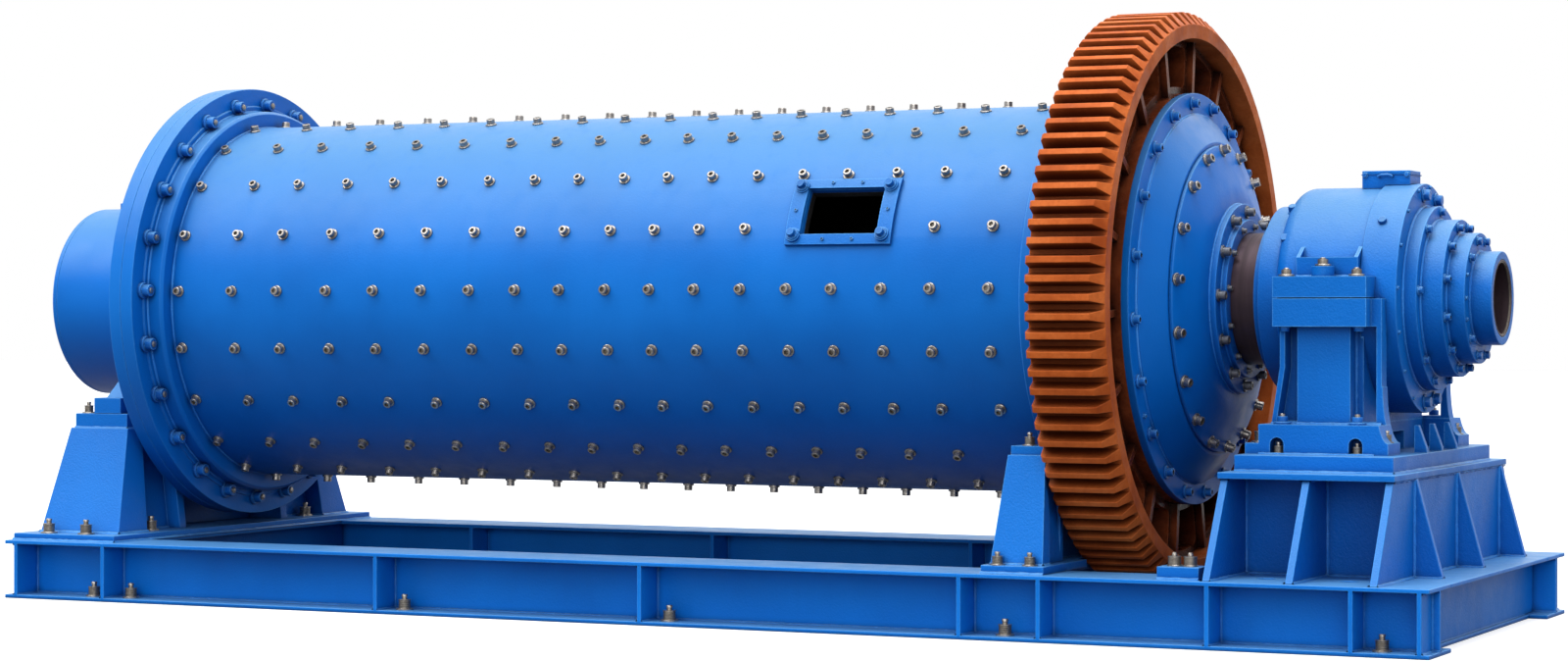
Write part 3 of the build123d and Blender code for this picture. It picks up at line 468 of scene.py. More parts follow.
def lathe(rows, sides=12):
    """Shape from rows of (radius, height, outline, material number) in mm, closed at the top.
    A row's material covers the band that ends at it, and the top."""
    vertices, faces = [], []
    for radius, height, form, _ in rows:
        for k in range(sides):
            angle = FULL_TURN * k / sides
            distance = reach(radius, form, angle) * MM
            vertices.append((distance * cos(angle), distance * sin(angle), height * MM))
    for row in range(1, len(rows)):
        faces += band(row - 1, sides, rows[row][3])
    top = (len(rows) - 1) * sides
    faces.append((tuple(range(top, top + sides)), rows[-1][3]))
    return vertices, faces


def washer(radius, thickness, mark=0):
    """Rows of a flat washer."""
    edge = thickness / 4
    return [
        (radius, 0, ROUND, mark),
        (radius, thickness - edge, ROUND, mark),
        (radius - edge, thickness, ROUND, mark),
    ]


def socket_screw(head, height, plate, thickness, marks=(0, 0)):
    """Cap screw with a six-sided socket, on a washer."""
    top = thickness + height
    steel, hollow = marks
    return lathe(
        washer(plate, thickness, steel)
        + [
            (head, thickness, ROUND, steel),
            (head, top - head / 8, ROUND, steel),
            (head * 7 / 8, top, ROUND, steel),
            (head * 0.58, top, HEX, steel),
            (head * 0.55, top - height / 2, HEX, hollow),
        ]
    )


def sleeve(inner, outer, depth, sides):
    """Short ring, open below."""
    vertices, faces = [], []
    for radius, height in ((outer, 0), (outer, depth), (inner, depth), (inner, 0)):
        for k in range(sides):
            angle = FULL_TURN * k / sides
            vertices.append((radius * MM * cos(angle), radius * MM * sin(angle), height * MM))
    for row in range(3):
        faces += band(row, sides)
    return vertices, faces


def hex_bolt(head, height, plate, thickness):
    """Six-sided bolt head on a washer."""
    top = thickness + height
    return lathe(
        washer(plate, thickness)
        + [
            (head, thickness, HEX, 0),
            (head, top - head / 7, HEX, 0),
            (head * 0.82, top, ROUND, 0),
        ]
    )


def nut_on_stud(nut, height, plate, thickness, stud, tip, marks):
    """Nut on a washer, with the end of its stud standing out."""
    top = thickness + height
    flat, body, end = marks
    return lathe(
        washer(plate, thickness, flat)
        + [
            (nut, thickness, HEX, body),
            (nut, top - nut / 7, HEX, body),
            (nut * 0.86, top, ROUND, body),
            (stud, top, ROUND, body),
            (stud, top + tip - 2, ROUND, end),
            (stud * 0.8, top + tip, ROUND, end),
        ],
        18,
    )


def anchor_stack(scale=1.0):
    """Wide washer, ribbed sleeve, thin washer and the square-shouldered end of a stud."""
    rows = washer(36, 6, 0)
    for rib in range(4):
        foot = 6 + 8 * rib
        rows += [(24, foot, ROUND, 1), (24, foot + 6, ROUND, 1), (22, foot + 7, ROUND, 1)]
    rows += [
        (26, 38, ROUND, 0),
        (26, 42, ROUND, 0),
        (11, 43, ROUND, 0),
        (11, 52, HEX, 1),
        (14, 52, HEX, 0),
        (14, 60, HEX, 0),
        (11, 62, ROUND, 0),
    ]
    return lathe([(r * scale, h * scale, form, mark) for r, h, form, mark in rows], 18)


BEAD_STEP = 18 * MM


def placed(name, data):
    """New object in the scene."""
    made = bpy.data.objects.new(name, data)
    bpy.context.scene.collection.objects.link(made)
    return made


class Batch:
    """Many small pieces gathered into one mesh that rides on one body."""

    def __init__(self, name, body, slot, *materials):
        self.name = name
        self.body = body
        self.slot = slot
        self.materials = materials
        self.mesh = bmesh.new()

    def add(self, shape, place):
        """One copy of a shape, given as vertices and faces, at a place."""
        vertices, faces = shape
        made = [self.mesh.verts.new(place @ Vector(vertex)) for vertex in vertices]
        for corners, mark in faces:
            face = self.mesh.faces.new([made[corner] for corner in corners])
            face.material_index = mark
            face.smooth = True

    def ring(self, shape, x, radius, angles, direction=1):
        """Copies round the axis on a face that looks along X."""
        for angle in angles:
            self.add(shape, set_at(from_axis(x, radius, angle), (direction, 0, 0)))

    def both_sides(self, shape, x, y, z, direction=(0, 0, 1)):
        """The same piece in front and at the rear."""
        for side in (-1, 1):
            toward = Vector((direction[0], -side * direction[1], direction[2]))
            self.add(shape, set_at(Vector((x, side * y, z)), toward))

    def bead(self, corners, size, closed=False):
        """Uneven weld fillet along (point, first side, second side) corners."""
        rows = []
        for point, first, second in corners:
            full = size * MM * random.uniform(0.82, 1.15)
            crown = full * random.uniform(0.62, 0.74)
            rows.append([
                self.mesh.verts.new(point + full * first),
                self.mesh.verts.new(point + crown * (first + second)),
                self.mesh.verts.new(point + full * second),
            ])
        pairs = list(zip(rows, rows[1:]))
        if closed:
            pairs.append((rows[-1], rows[0]))
        for row, after in pairs:
            for k in range(2):
                face = self.mesh.faces.new((row[k], after[k], after[k + 1], row[k + 1]))
                face.smooth = True

    def fillet(self, start, end, first, second, size):
        """Straight weld bead between two points, with its first and second side."""
        start, end = Vector(start), Vector(end)
        first, second = Vector(first).normalized(), Vector(second).normalized()
        count = max(2, ceil((end - start).length / BEAD_STEP))
        self.bead([(start.lerp(end, k / count), first, second) for k in range(count + 1)], size)

    def finish(self):
        """The gathered mesh, in place on its body."""
        bmesh.ops.recalc_face_normals(self.mesh, faces=self.mesh.faces)
        data = bpy.data.meshes.new(self.name)
        self.mesh.to_mesh(data)
        self.mesh.free()
        for material in self.materials:
            data.materials.append(material)
        data.set_sharp_from_angle(angle=SHARP)
        piece = placed(self.name, data)
        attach(piece, self.body)


# Bolts through the drum's lining

LINER_RING_SHARES = (
    0.0403, 0.1012, 0.1522, 0.2072, 0.2591, 0.3113, 0.3627, 0.4114, 0.4575,
    0.5049, 0.5498, 0.5949, 0.6407, 0.6858, 0.7294, 0.7770, 0.8230, 0.8776,
)
LINER_BOLTS_AROUND = 20
LINER_FIRST_ANGLE = 2.8
MANHOLE_ROW_ANGLE = 20.8
MANHOLE_RING_SHARES = (0.6858, 0.7294, 0.7770)


def liner_bolts():
    """Rings of cap screws through the shell, with room left for the manhole."""
    batch = Batch("liner_bolts", DRUM, "journal_steel", STEEL, GROOVED)
    screw = socket_screw(head=17.5, height=21, plate=23.5, thickness=7, marks=(0, 1))
    for share in LINER_RING_SHARES:
        x = SHELL_LEFT + share * SHELL_LENGTH
        for k in range(LINER_BOLTS_AROUND):
            angle = LINER_FIRST_ANGLE + 360 * k / LINER_BOLTS_AROUND
            if share in MANHOLE_RING_SHARES and abs(angle - MANHOLE_ROW_ANGLE) < 1:
                continue
            batch.add(screw, set_at(from_axis(x, SHELL_RADIUS, angle), radial(angle)))
    batch.finish()


# Manhole

MANHOLE_X = SHELL_RIGHT - 1183 * MM
MANHOLE_ANGLE = 26.1
MANHOLE_FRAME_LENGTH = 450 * MM
MANHOLE_FRAME_WIDTH = 286 * MM
MANHOLE_PAD_INSET = 36 * MM
MANHOLE_TOP = 790.7 * MM
MANHOLE_FACE = 787 * MM
MANHOLE_SCREWS = ((-0.32, -1), (0.32, -1), (-0.32, 1), (0.32, 1), (-1, 0), (1, 0))


def manhole_bolts():
    """Hex bolts on the four pads of the open manhole, and small screws between them."""
    batch = Batch("manhole_bolts", DRUM, "blue_paint", FITTING, DARK_STEEL)
    bolt = hex_bolt(head=18, height=20, plate=25, thickness=6)
    screw = socket_screw(head=7, height=6, plate=8, thickness=1, marks=(0, 1))
    out = radial(MANHOLE_ANGLE)
    up = Vector((0.0, out.z, -out.y))
    middle = Vector((MANHOLE_X, 0.0, AXIS_Z))
    half_length = MANHOLE_FRAME_LENGTH / 2 - MANHOLE_PAD_INSET
    half_width = MANHOLE_FRAME_WIDTH / 2 - MANHOLE_PAD_INSET
    for a, b in ((-1, -1), (-1, 1), (1, -1), (1, 1)):
        point = middle + a * half_length * RIGHTWARD + b * half_width * up + MANHOLE_TOP * out
        batch.add(bolt, set_at(point, out))
    edge_length = MANHOLE_FRAME_LENGTH / 2 - 29 * MM
    edge_width = MANHOLE_FRAME_WIDTH / 2 - 20 * MM
    for a, b in MANHOLE_SCREWS:
        across = b * edge_width * up
        off_axis = across + sqrt(MANHOLE_FACE**2 - across.length_squared) * out
        batch.add(screw, set_at(middle + a * edge_length * RIGHTWARD + off_axis, off_axis))
    batch.finish()


# Bolts of the drum's ends

FLANGE_BOLTS = 873 * MM
COVER_SCREWS = 765 * MM
CONE_SCREWS = 577 * MM
HUB_SCREWS = 338 * MM
HUB_RING_SCREWS = 282 * MM


def every(step, offset):
    """Angles all the way round at a step."""
    return [offset + step * k for k in range(round(360 / step))]


def feed_flange_bolts():
    """Nuts with bright stud ends in front of the feed flange, and low nuts behind it."""
    batch = Batch("feed_flange_bolts", DRUM, "blue_paint", FITTING, STEEL)
    nut = nut_on_stud(28, 32, 35, 14, stud=13, tip=6, marks=(0, 0, 1))
    back_nut = hex_bolt(head=24, height=15, plate=31, thickness=4)
    angles = every(15, 2.7)
    batch.ring(nut, SHELL_LEFT + FEED_FLANGE_THICKNESS, FLANGE_BOLTS, angles)
    batch.ring(back_nut, SHELL_LEFT - HEAD_FLANGE_THICKNESS, FLANGE_BOLTS, angles, -1)
    batch.finish()


def discharge_cover_bolts():
    """Painted cap screws on the rim of the discharge head."""
    batch = Batch("discharge_cover_bolts", DRUM, "blue_paint", FITTING, DARK_STEEL)
    screw = socket_screw(head=17, height=24, plate=27, thickness=8, marks=(0, 1))
    small = socket_screw(head=9, height=8, plate=11, thickness=2, marks=(0, 1))
    batch.ring(screw, COVER_FACE, COVER_SCREWS, every(18, 12))
    batch.ring(small, COVER_FACE, COVER_SCREWS + 7 * MM, (44, 117, -5, -35, 185))
    batch.finish()


def cone_bolts():
    """Bright cap screws round the cone, and darker ones round the hub."""
    batch = Batch("cone_bolts", DRUM, "journal_steel", STEEL, GROOVED, HUB_STEEL)
    screw = socket_screw(head=18, height=25, plate=25, thickness=8, marks=(0, 1))
    slope = (CONE_SEAT - CONE_LIP) / (CONE_LIP_RADIUS - CONE_SEAT_RADIUS)
    x = CONE_LIP + slope * (CONE_LIP_RADIUS - CONE_SCREWS)
    for angle in every(20, 7):
        across = RIGHTWARD + slope * radial(angle)
        batch.add(screw, set_at(from_axis(x, CONE_SCREWS, angle), across))
    hub_screw = socket_screw(head=17, height=26, plate=25, thickness=7, marks=(2, 1))
    batch.ring(hub_screw, HUB_FACE, HUB_SCREWS, every(30, 2))
    ring_screw = socket_screw(head=10, height=12, plate=14, thickness=4, marks=(2, 1))
    batch.ring(ring_screw, HUB_RING_FACE, HUB_RING_SCREWS, every(30, 8))
    batch.finish()


# Bearings

LARGE_RING = 328 * MM
MIDDLE_RING = 274 * MM
SMALL_RING = 222 * MM
END_FLANGE_RING = 395 * MM


def bearing_cover_bolts():
    """Bolts on each step of the bearing's outer covers."""
    batch = Batch("bearing_cover_bolts", STAND, "blue_paint", FITTING, DARK_STEEL)
    large = hex_bolt(head=23, height=22, plate=29, thickness=6)
    medium = hex_bolt(head=15, height=15, plate=19, thickness=4)
    socket = socket_screw(head=14, height=19, plate=20, thickness=5, marks=(0, 1))
    small = socket_screw(head=7, height=7, plate=9, thickness=1, marks=(0, 1))
    batch.ring(large, END_FLANGE_FACE, END_FLANGE_RING, (82, 108, -84, -104))
    batch.ring(small, END_FLANGE_FACE, BEARING_RADIUS, every(22.5, 5))
    batch.ring(medium, LARGE_COVER_FACE, LARGE_RING, (5, 52, 90, 128, 175, -45, -72, -108, -135))
    batch.ring(socket, MIDDLE_COVER_FACE, MIDDLE_RING, every(30, 15))
    batch.ring(medium, SMALL_COVER_FACE, SMALL_RING, (43, 75, 105, 137, -43, -75, -105, -137))
    batch.ring(small, SMALL_COVER_FACE, SMALL_RING + 10 * MM, (0, 22, -20, 180, 160, 200))
    batch.finish()


def bore_lips():
    """Thin lips inside both open ends of the drum's journals, rubbed by wear."""
    batch = Batch("bore_lips", DRUM, "journal_steel", GROOVED)
    outlet_lip = sleeve(inner=135.5, outer=137.8, depth=6, sides=64)
    inlet_lip = sleeve(inner=187.5, outer=189.8, depth=6, sides=64)
    depth = 9 * MM
    outlet_x = high("discharge_trunnion").x - depth
    inlet_x = low("feed_trunnion").x + depth
    batch.add(outlet_lip, set_at(Vector((outlet_x, 0.0, AXIS_Z)), (1, 0, 0)))
    batch.add(inlet_lip, set_at(Vector((inlet_x, 0.0, AXIS_Z)), (-1, 0, 0)))
    batch.finish()


def bearing_body_bolts():
    """Bolts that hold the bearing's cap, columns and base."""
    batch = Batch("bearing_body_bolts", STAND, "journal_steel", STEEL, GROOVED)
    stack = anchor_stack()
    low_stack = anchor_stack(0.72)
    flat_nut = nut_on_stud(21, 18, 30, 8, stud=11, tip=6, marks=(0, 1, 0))
    split_y = SPLIT_HALF_WIDTH - 32 * MM
    for side in (-1, 1):
        batch.both_sides(flat_nut, BEARING_MIDDLE + side * 134 * MM, split_y, SPLIT_TOP)
        batch.both_sides(low_stack, BEARING_MIDDLE + side * 150 * MM, 565 * MM, BED_TOP)
    batch.both_sides(flat_nut, BEARING_MIDDLE, SPLIT_HALF_WIDTH - 52 * MM, SPLIT_TOP + 38 * MM)
    anchor_y = BASE_HALF_WIDTH - FOOT_WIDTH / 2
    batch.both_sides(stack, BEARING_LEFT - 16 * MM, anchor_y, BED_TOP + FOOT_HEIGHT)
    batch.both_sides(low_stack, BEARING_RIGHT + 25 * MM, anchor_y, BED_TOP + 45 * MM)
    batch.finish()

    painted = Batch("bearing_foot_bolts", STAND, "blue_paint", FITTING, STEEL)
    head = hex_bolt(head=19, height=15, plate=24, thickness=3)
    foot_nut = nut_on_stud(22, 20, 33, 9, stud=11, tip=10, marks=(0, 0, 1))
    for side in (-1, 1):
        x = BEARING_MIDDLE + side * 142 * MM
        painted.both_sides(head, x, split_y, SPLIT_FOOT, (0, 0, -1))
        painted.both_sides(foot_nut, BEARING_MIDDLE + side * 143 * MM, 540 * MM, BASE_TOP)
    painted.finish()


def bar(points, radius, sides=8):
    """Round bar bent through points, as vertices and faces."""
    vertices, faces = [], []
    for i, point in enumerate(points):
        before, after = points[max(i - 1, 0)], points[min(i + 1, len(points) - 1)]
        turn = (Vector(after) - Vector(before)).to_track_quat("Z", "X").to_matrix()
        for k in range(sides):
            angle = FULL_TURN * k / sides
            rim = turn @ Vector((radius * cos(angle), radius * sin(angle), 0.0))
            vertices.append(tuple((Vector(point) + rim) * MM))
    for row in range(len(points) - 1):
        faces += band(row, sides)
    faces.append((tuple(range(sides)), 0))
    faces.append((tuple(range(len(vertices) - sides, len(vertices))), 0))
    return vertices, faces


def inspection_box_fittings():
    """Handle and screws on the front and rear of the inspection box, and the rim of its lid."""
    batch = Batch("inspection_box_fittings", STAND, "blue_paint", FITTING, STEEL)
    a, b = low("inspection_box"), high("inspection_box")
    middle, height = (a.x + b.x) / 2, b.z - 22 * MM
    handle = bar([(-26, 0, 0), (-26, 0, 12), (-14, 5, 20), (14, 5, 20), (26, 0, 12), (26, 0, 0)], 5)
    screw = hex_bolt(head=9, height=8, plate=12, thickness=2)
    for side in (-1, 1):
        upright = Matrix.Rotation(-side * pi / 2, 4, "X")
        batch.add(handle, Matrix.Translation((middle, side * b.y, height)) @ upright)
        for x in (a.x + 12 * MM, b.x - 12 * MM):
            batch.add(screw, set_at(Vector((x, side * b.y, height + 6 * MM)), (0, side, 0)))
    rim = b.z - 14 * MM
    corners = []
    for u, v in ((-1, -1), (1, -1), (1, 1), (-1, 1)):
        corner = Vector((b.x if u > 0 else a.x, b.y if v > 0 else a.y, rim))
        corners.append((corner, Vector((u, v, 0.0)), -UPWARD))
    batch.bead(corners, 4, closed=True)
    batch.finish()


def cap_fittings():
    """Plugs along the seams of the bearing's cap."""
    batch = Batch("cap_fittings", STAND, "blue_paint", FITTING, DARK_STEEL)
    plug = hex_bolt(head=17, height=24, plate=22, thickness=6)
    for x, angle in (
        (BEARING_RIGHT - 42 * MM, 41),
        (BEARING_LEFT + 22 * MM, 34),
        (BEARING_LEFT + 16 * MM, 58),
    ):
        for turn in (angle, 180 - angle):
            inset = 38 * MM if x < BEARING_MIDDLE else 4 * MM
            point = from_axis(x, BEARING_RADIUS - inset, turn)
            batch.add(plug, set_at(point, radial(turn)))
    batch.finish()


def wedge(length, height, thickness):
    """Three-cornered rib with blunt corners, its right angle at the origin."""
    outline = [(0, 0), (length, 0), (length, 14), (16, height), (0, height)]
    vertices = [(x * MM, side * thickness / 2 * MM, z * MM) for side in (-1, 1) for x, z in outline]
    count = len(outline)
    faces = [(tuple(range(count)), 0), (tuple(range(count, 2 * count)), 0)]
    for k in range(count):
        after = (k + 1) % count
        faces.append(((k, after, after + count, k + count), 0))
    return vertices, faces


def bearing_ribs():
    """Ribs between the end of the bearing's base and the plate it stands on."""
    batch = Batch("bearing_ribs", STAND, "blue_paint", BLUE)
    height = (BASE_TOP - BED_TOP) / MM - 8
    rib = wedge(48, height, 24)
    for y in (-215, 0, 215):
        batch.add(rib, Matrix.Translation((high("bearing_base").x, y * MM, BED_TOP)))
    batch.finish()


def feed_bearing_fittings():
    """Plug on the filling lug and bolts round the end cover of the feed bearing."""
    batch = Batch("feed_bearing_fittings", STAND, "blue_paint", FITTING, DARK_STEEL)
    plug = hex_bolt(head=19, height=17, plate=25, thickness=5)
    lug = Vector((low("feed_bearing_housing").x + 99 * MM, 0.0, high("feed_bearing_housing").z))
    batch.add(plug, set_at(lug, (0, 0, 1)))
    bolt = hex_bolt(head=15, height=14, plate=20, thickness=4)
    batch.ring(bolt, low("feed_end_cover").x, 365 * MM, every(30, 15), -1)
    batch.finish()


# Studs and nuts of the frame

ANCHOR_OUT = 75 * MM
ANCHOR_BESIDE = 95 * MM
FEED_STUD_Y = 948 * MM
KEEPER_NUT_Y = 944 * MM
MIDDLE_STUD_Y = 971 * MM


def frame_studs():
    """Studs that hold the frame to the floor and the pedestals to the frame."""
    batch = Batch("frame_studs", STAND, "journal_steel", STEEL, GROOVED)
    stack = anchor_stack()
    small_stack = anchor_stack(0.8)
    anchor_y = WEB_Y + ANCHOR_OUT
    second, third, fourth, fifth, sixth = [beam_x(share) for share in STIFFENER_SHARES[1:6]]
    last = beam_x(STIFFENER_SHARES[7]) + ANCHOR_BESIDE
    inner = [x + ANCHOR_BESIDE for x in (second, third, fourth)]
    for x in (second - ANCHOR_BESIDE, *inner, (fifth + sixth) / 2, last):
        batch.both_sides(stack, x, anchor_y, BEAM_FLANGE)
    feed_x = (low("feed_sole_plate").x + high("feed_sole_plate").x) / 2
    feed_top = high("feed_sole_plate").z
    for side in (-1, 1):
        batch.both_sides(stack, feed_x + (side * 97 - 18) * MM, FEED_STUD_Y, feed_top)
        batch.both_sides(stack, feed_x + side * 162 * MM, (525 + side * 75) * MM, feed_top)
    middle_x = (low("middle_pedestal_front").x + high("middle_pedestal_front").x) / 2
    middle_top = BEAM_TOP + SOLE_THICKNESS
    for side in (-1, 1):
        batch.both_sides(small_stack, middle_x + (side * 64.5 - 4.5) * MM, MIDDLE_STUD_Y, middle_top)
    feed_cap = high("feed_pedestal_front").z
    batch.both_sides(small_stack, feed_x - 90 * MM, 702 * MM, feed_cap)
    batch.both_sides(small_stack, middle_x - 6 * MM, 800 * MM, MIDDLE_CAP_TOP)
    batch.finish()


def keeper_nuts():
    """Domed nuts on the keeper blocks."""
    batch = Batch("keeper_nuts", STAND, "journal_steel", STEEL, GROOVED)
    nut = lathe(
        washer(29, 5)
        + [
            (24, 5, ROUND, 1),
            (24, 32, ROUND, 1),
            (25, 32, ROUND, 0),
            (25, 36, ROUND, 0),
            (10, 37, ROUND, 0),
            (10, 44, ROUND, 0),
            (7, 50, ROUND, 0),
        ],
        18,
    )
    left, right = low("keeper_blocks").x, high("keeper_blocks").x
    for share in (0.31, 0.69):
        x = left + share * (right - left)
        batch.both_sides(nut, x, KEEPER_NUT_Y, high("keeper_blocks").z)
    batch.finish()


liner_bolts()
manhole_bolts()
feed_flange_bolts()
discharge_cover_bolts()
cone_bolts()
bearing_cover_bolts()
bore_lips()
bearing_body_bolts()
cap_fittings()
inspection_box_fittings()
bearing_ribs()
feed_bearing_fittings()
frame_studs()
keeper_nuts()


# Weld beads

def circle(x, radius, side):
    """Corners for a bead round the axis where a step meets a face that looks along X."""
    count = ceil(FULL_TURN * radius / (2 * BEAD_STEP))
    corners = []
    for k in range(count):
        out = radial(360 * k / count)
        corners.append((from_axis(x, radius, 360 * k / count), side * RIGHTWARD, out))
    return corners


def beam_welds():
    """Fillets between the webs, flanges and stiffeners of the long beams."""
    batch = Batch("beam_welds", STAND, "blue_paint", WELD)
    top = BEAM_TOP - BEAM_FLANGE
    for side in (-1, 1):
        for face in (-1, 1):
            y = side * WEB_Y + face * WEB_HALF
            out = (0, face, 0)
            batch.fillet((BEAM_LEFT, y, BEAM_FLANGE), (BEAM_RIGHT, y, BEAM_FLANGE), out, UPWARD, 7)
            batch.fillet((BEAM_LEFT, y, top), (BEAM_RIGHT, y, top), out, -UPWARD, 7)
        y = side * (WEB_Y + WEB_HALF)
        edge = side * BEAM_OUTER
        out = (0, side, 0)
        for share in STIFFENER_SHARES:
            for face in (-1, 1):
                x = beam_x(share) + face * STIFFENER_HALF
                away = (face, 0, 0)
                batch.fillet((x, y, BEAM_FLANGE), (x, y, top), away, out, 6)
                batch.fillet((x, y, BEAM_FLANGE), (x, edge, BEAM_FLANGE), away, UPWARD, 6)
                batch.fillet((x, y, top), (x, edge, top), away, -UPWARD, 6)
    batch.finish()


def long_edges(batch, node, z, size):
    """Beads along the front and rear of a node at a height."""
    a, b = low(node), high(node)
    for y, side in ((a.y, -1), (b.y, 1)):
        batch.fillet((a.x, y, z), (b.x, y, z), (0, side, 0), UPWARD, size)


def footing(batch, node, z, size):
    """Beads all round a node at a height."""
    a, b = low(node), high(node)
    long_edges(batch, node, z, size)
    for x, side in ((a.x, -1), (b.x, 1)):
        batch.fillet((x, a.y, z), (x, b.y, z), (side, 0, 0), UPWARD, size)


STAND_FOOT_Y = 1031 * MM
STAND_TOP_Y = 816 * MM
STAND_WALL_Y = 597 * MM
END_RIB_SHARES = (-0.63, 0.1, 0.9)
END_RIB_Y = 830 * MM
END_RIB_FOOT = 106 * MM


def stand_welds():
    """Fillets where the stand's walls and ribs meet the beams and the plate."""
    batch = Batch("stand_welds", STAND, "blue_paint", WELD)
    plate = low("stand_plate").z
    inner = (low("stand_inner_wall").x, high("stand_inner_wall").x)
    outer_left = low("stand_end_wall").x
    outer_right = outer_left + WALL
    middle = (inner[1] + outer_left) / 2
    ribs = (middle - WALL / 2, middle + WALL / 2)
    for side in (-1, 1):
        out = (0, side, 0)
        wall_y, foot_y, top_y = side * STAND_WALL_Y, side * STAND_FOOT_Y, side * STAND_TOP_Y
        for x, away in (
            (inner[0], -1), (inner[1], 1), (ribs[0], -1), (ribs[1], 1), (outer_left, -1),
        ):
            along = (away, 0, 0)
            batch.fillet((x, wall_y, BEAM_TOP), (x, foot_y, BEAM_TOP), along, UPWARD, 8)
            batch.fillet((x, wall_y, plate), (x, top_y, plate), along, -UPWARD, 8)
            if x != inner[0]:
                batch.fillet((x, wall_y, BEAM_TOP), (x, wall_y, plate), along, out, 8)
        for start, end in ((inner[1], ribs[0]), (ribs[1], outer_left)):
            batch.fillet((start, wall_y, BEAM_TOP), (end, wall_y, BEAM_TOP), out, UPWARD, 8)
            batch.fillet((start, wall_y, plate), (end, wall_y, plate), out, -UPWARD, 8)
    x = outer_right
    batch.fillet((x, -STAND_FOOT_Y, BEAM_TOP), (x, STAND_FOOT_Y, BEAM_TOP), RIGHTWARD, UPWARD, 8)
    batch.fillet((x, -STAND_TOP_Y, plate), (x, STAND_TOP_Y, plate), RIGHTWARD, -UPWARD, 8)
    for share in END_RIB_SHARES:
        for face in (-1, 1):
            y = share * END_RIB_Y + face * WALL / 2
            beside = (0, face, 0)
            batch.fillet((x, y, BEAM_TOP), (x, y, plate), RIGHTWARD, beside, 8)
            batch.fillet((x, y, BEAM_TOP), (x + END_RIB_FOOT, y, BEAM_TOP), beside, UPWARD, 7)
    footing(batch, "bearing_bed", high("stand_plate").z, 7)
    batch.finish()


PEDESTAL_BOX_DEPTH = 207 * MM
PEDESTAL_WALL_INSET = 85 * MM
PEDESTAL_WALL_END = 417 * MM
CAP_HEIGHT = 62 * MM
CAP_Y = 736 * MM
CAP_HALF = 136 * MM
MIDDLE_BOX_DEPTH = 73 * MM


def outer_face(node):
    """Side of a pedestal, -1 in front and 1 at the rear, and the Y of its outer face."""
    a, b = low(node), high(node)
    return (-1, a.y) if a.y < 0 else (1, b.y)


def pedestal_welds():
    """Fillets round the feet and caps of the pedestals, and round their sole plates."""
    batch = Batch("pedestal_welds", STAND, "blue_paint", WELD)
    sole = high("feed_sole_plate").z
    for name in ("feed_pedestal_front", "feed_pedestal_rear"):
        a, b = low(name), high(name)
        side, front = outer_face(name)
        box_back = front - side * PEDESTAL_BOX_DEPTH
        out = (0, side, 0)
        batch.fillet((a.x, front, sole), (b.x, front, sole), out, UPWARD, 9)
        for x, face in ((a.x, -1), (b.x, 1)):
            batch.fillet((x, front, sole), (x, box_back, sole), (face, 0, 0), UPWARD, 9)
            wall = x - face * PEDESTAL_WALL_INSET
            wall_end = (wall, side * PEDESTAL_WALL_END, sole)
            batch.fillet((wall, box_back, sole), wall_end, (face, 0, 0), UPWARD, 9)
            batch.fillet((x, box_back, sole), (wall, box_back, sole), (0, -side, 0), UPWARD, 8)
        cap = b.z - CAP_HEIGHT
        y = side * CAP_Y
        middle = (a.x + b.x) / 2
        batch.fillet((middle - CAP_HALF, y, cap), (middle + CAP_HALF, y, cap), out, UPWARD, 7)
        for face in (-1, 1):
            x = middle + face * CAP_HALF
            batch.fillet((x, y, cap), (x, y - side * CAP_HALF, cap), (face, 0, 0), UPWARD, 7)
    sole = BEAM_TOP + SOLE_THICKNESS
    for name in ("middle_pedestal_front", "middle_pedestal_rear"):
        a, b = low(name), high(name)
        side, front = outer_face(name)
        batch.fillet((a.x, front, sole), (b.x, front, sole), (0, side, 0), UPWARD, 8)
        for x, face in ((a.x, -1), (b.x, 1)):
            back = (x, front - side * MIDDLE_BOX_DEPTH, sole)
            batch.fillet((x, front, sole), back, (face, 0, 0), UPWARD, 8)
    footing(batch, "feed_sole_plate", BEAM_TOP, 8)
    long_edges(batch, "middle_sole_plate", BEAM_TOP, 8)
    long_edges(batch, "keeper_blocks", BEAM_TOP, 8)
    batch.finish()


BOSS_Y = 450 * MM
BOSS_HALF_LENGTH = 118 * MM


def bearing_welds():
    """Seams of the bearing's columns, base and split flange."""
    batch = Batch("bearing_welds", STAND, "blue_paint", WELD)
    left = BEARING_LEFT + 19 * MM
    for side in (-1, 1):
        out = (0, side, 0)
        y = side * COLUMN_HALF_WIDTH
        batch.fillet((left, y, BASE_TOP), (BEARING_RIGHT, y, BASE_TOP), out, UPWARD, 7)
        y = side * BASE_HALF_WIDTH
        batch.fillet((BEARING_LEFT, y, BED_TOP), (BEARING_RIGHT, y, BED_TOP), out, UPWARD, 6)
        recess = side * (COLUMN_HALF_WIDTH - COLUMN_RECESS)
        for face in (-1, 1):
            x = BEARING_MIDDLE + face * COLUMN_WIDTH / 2
            batch.fillet((x, recess, BASE_TOP), (x, recess, SPLIT_FOOT), (face, 0, 0), out, 7)
        y = side * BOSS_Y
        start, end = BEARING_MIDDLE - BOSS_HALF_LENGTH, BEARING_MIDDLE + BOSS_HALF_LENGTH
        batch.fillet((start, y, SPLIT_TOP), (end, y, SPLIT_TOP), out, UPWARD, 7)
    batch.finish()


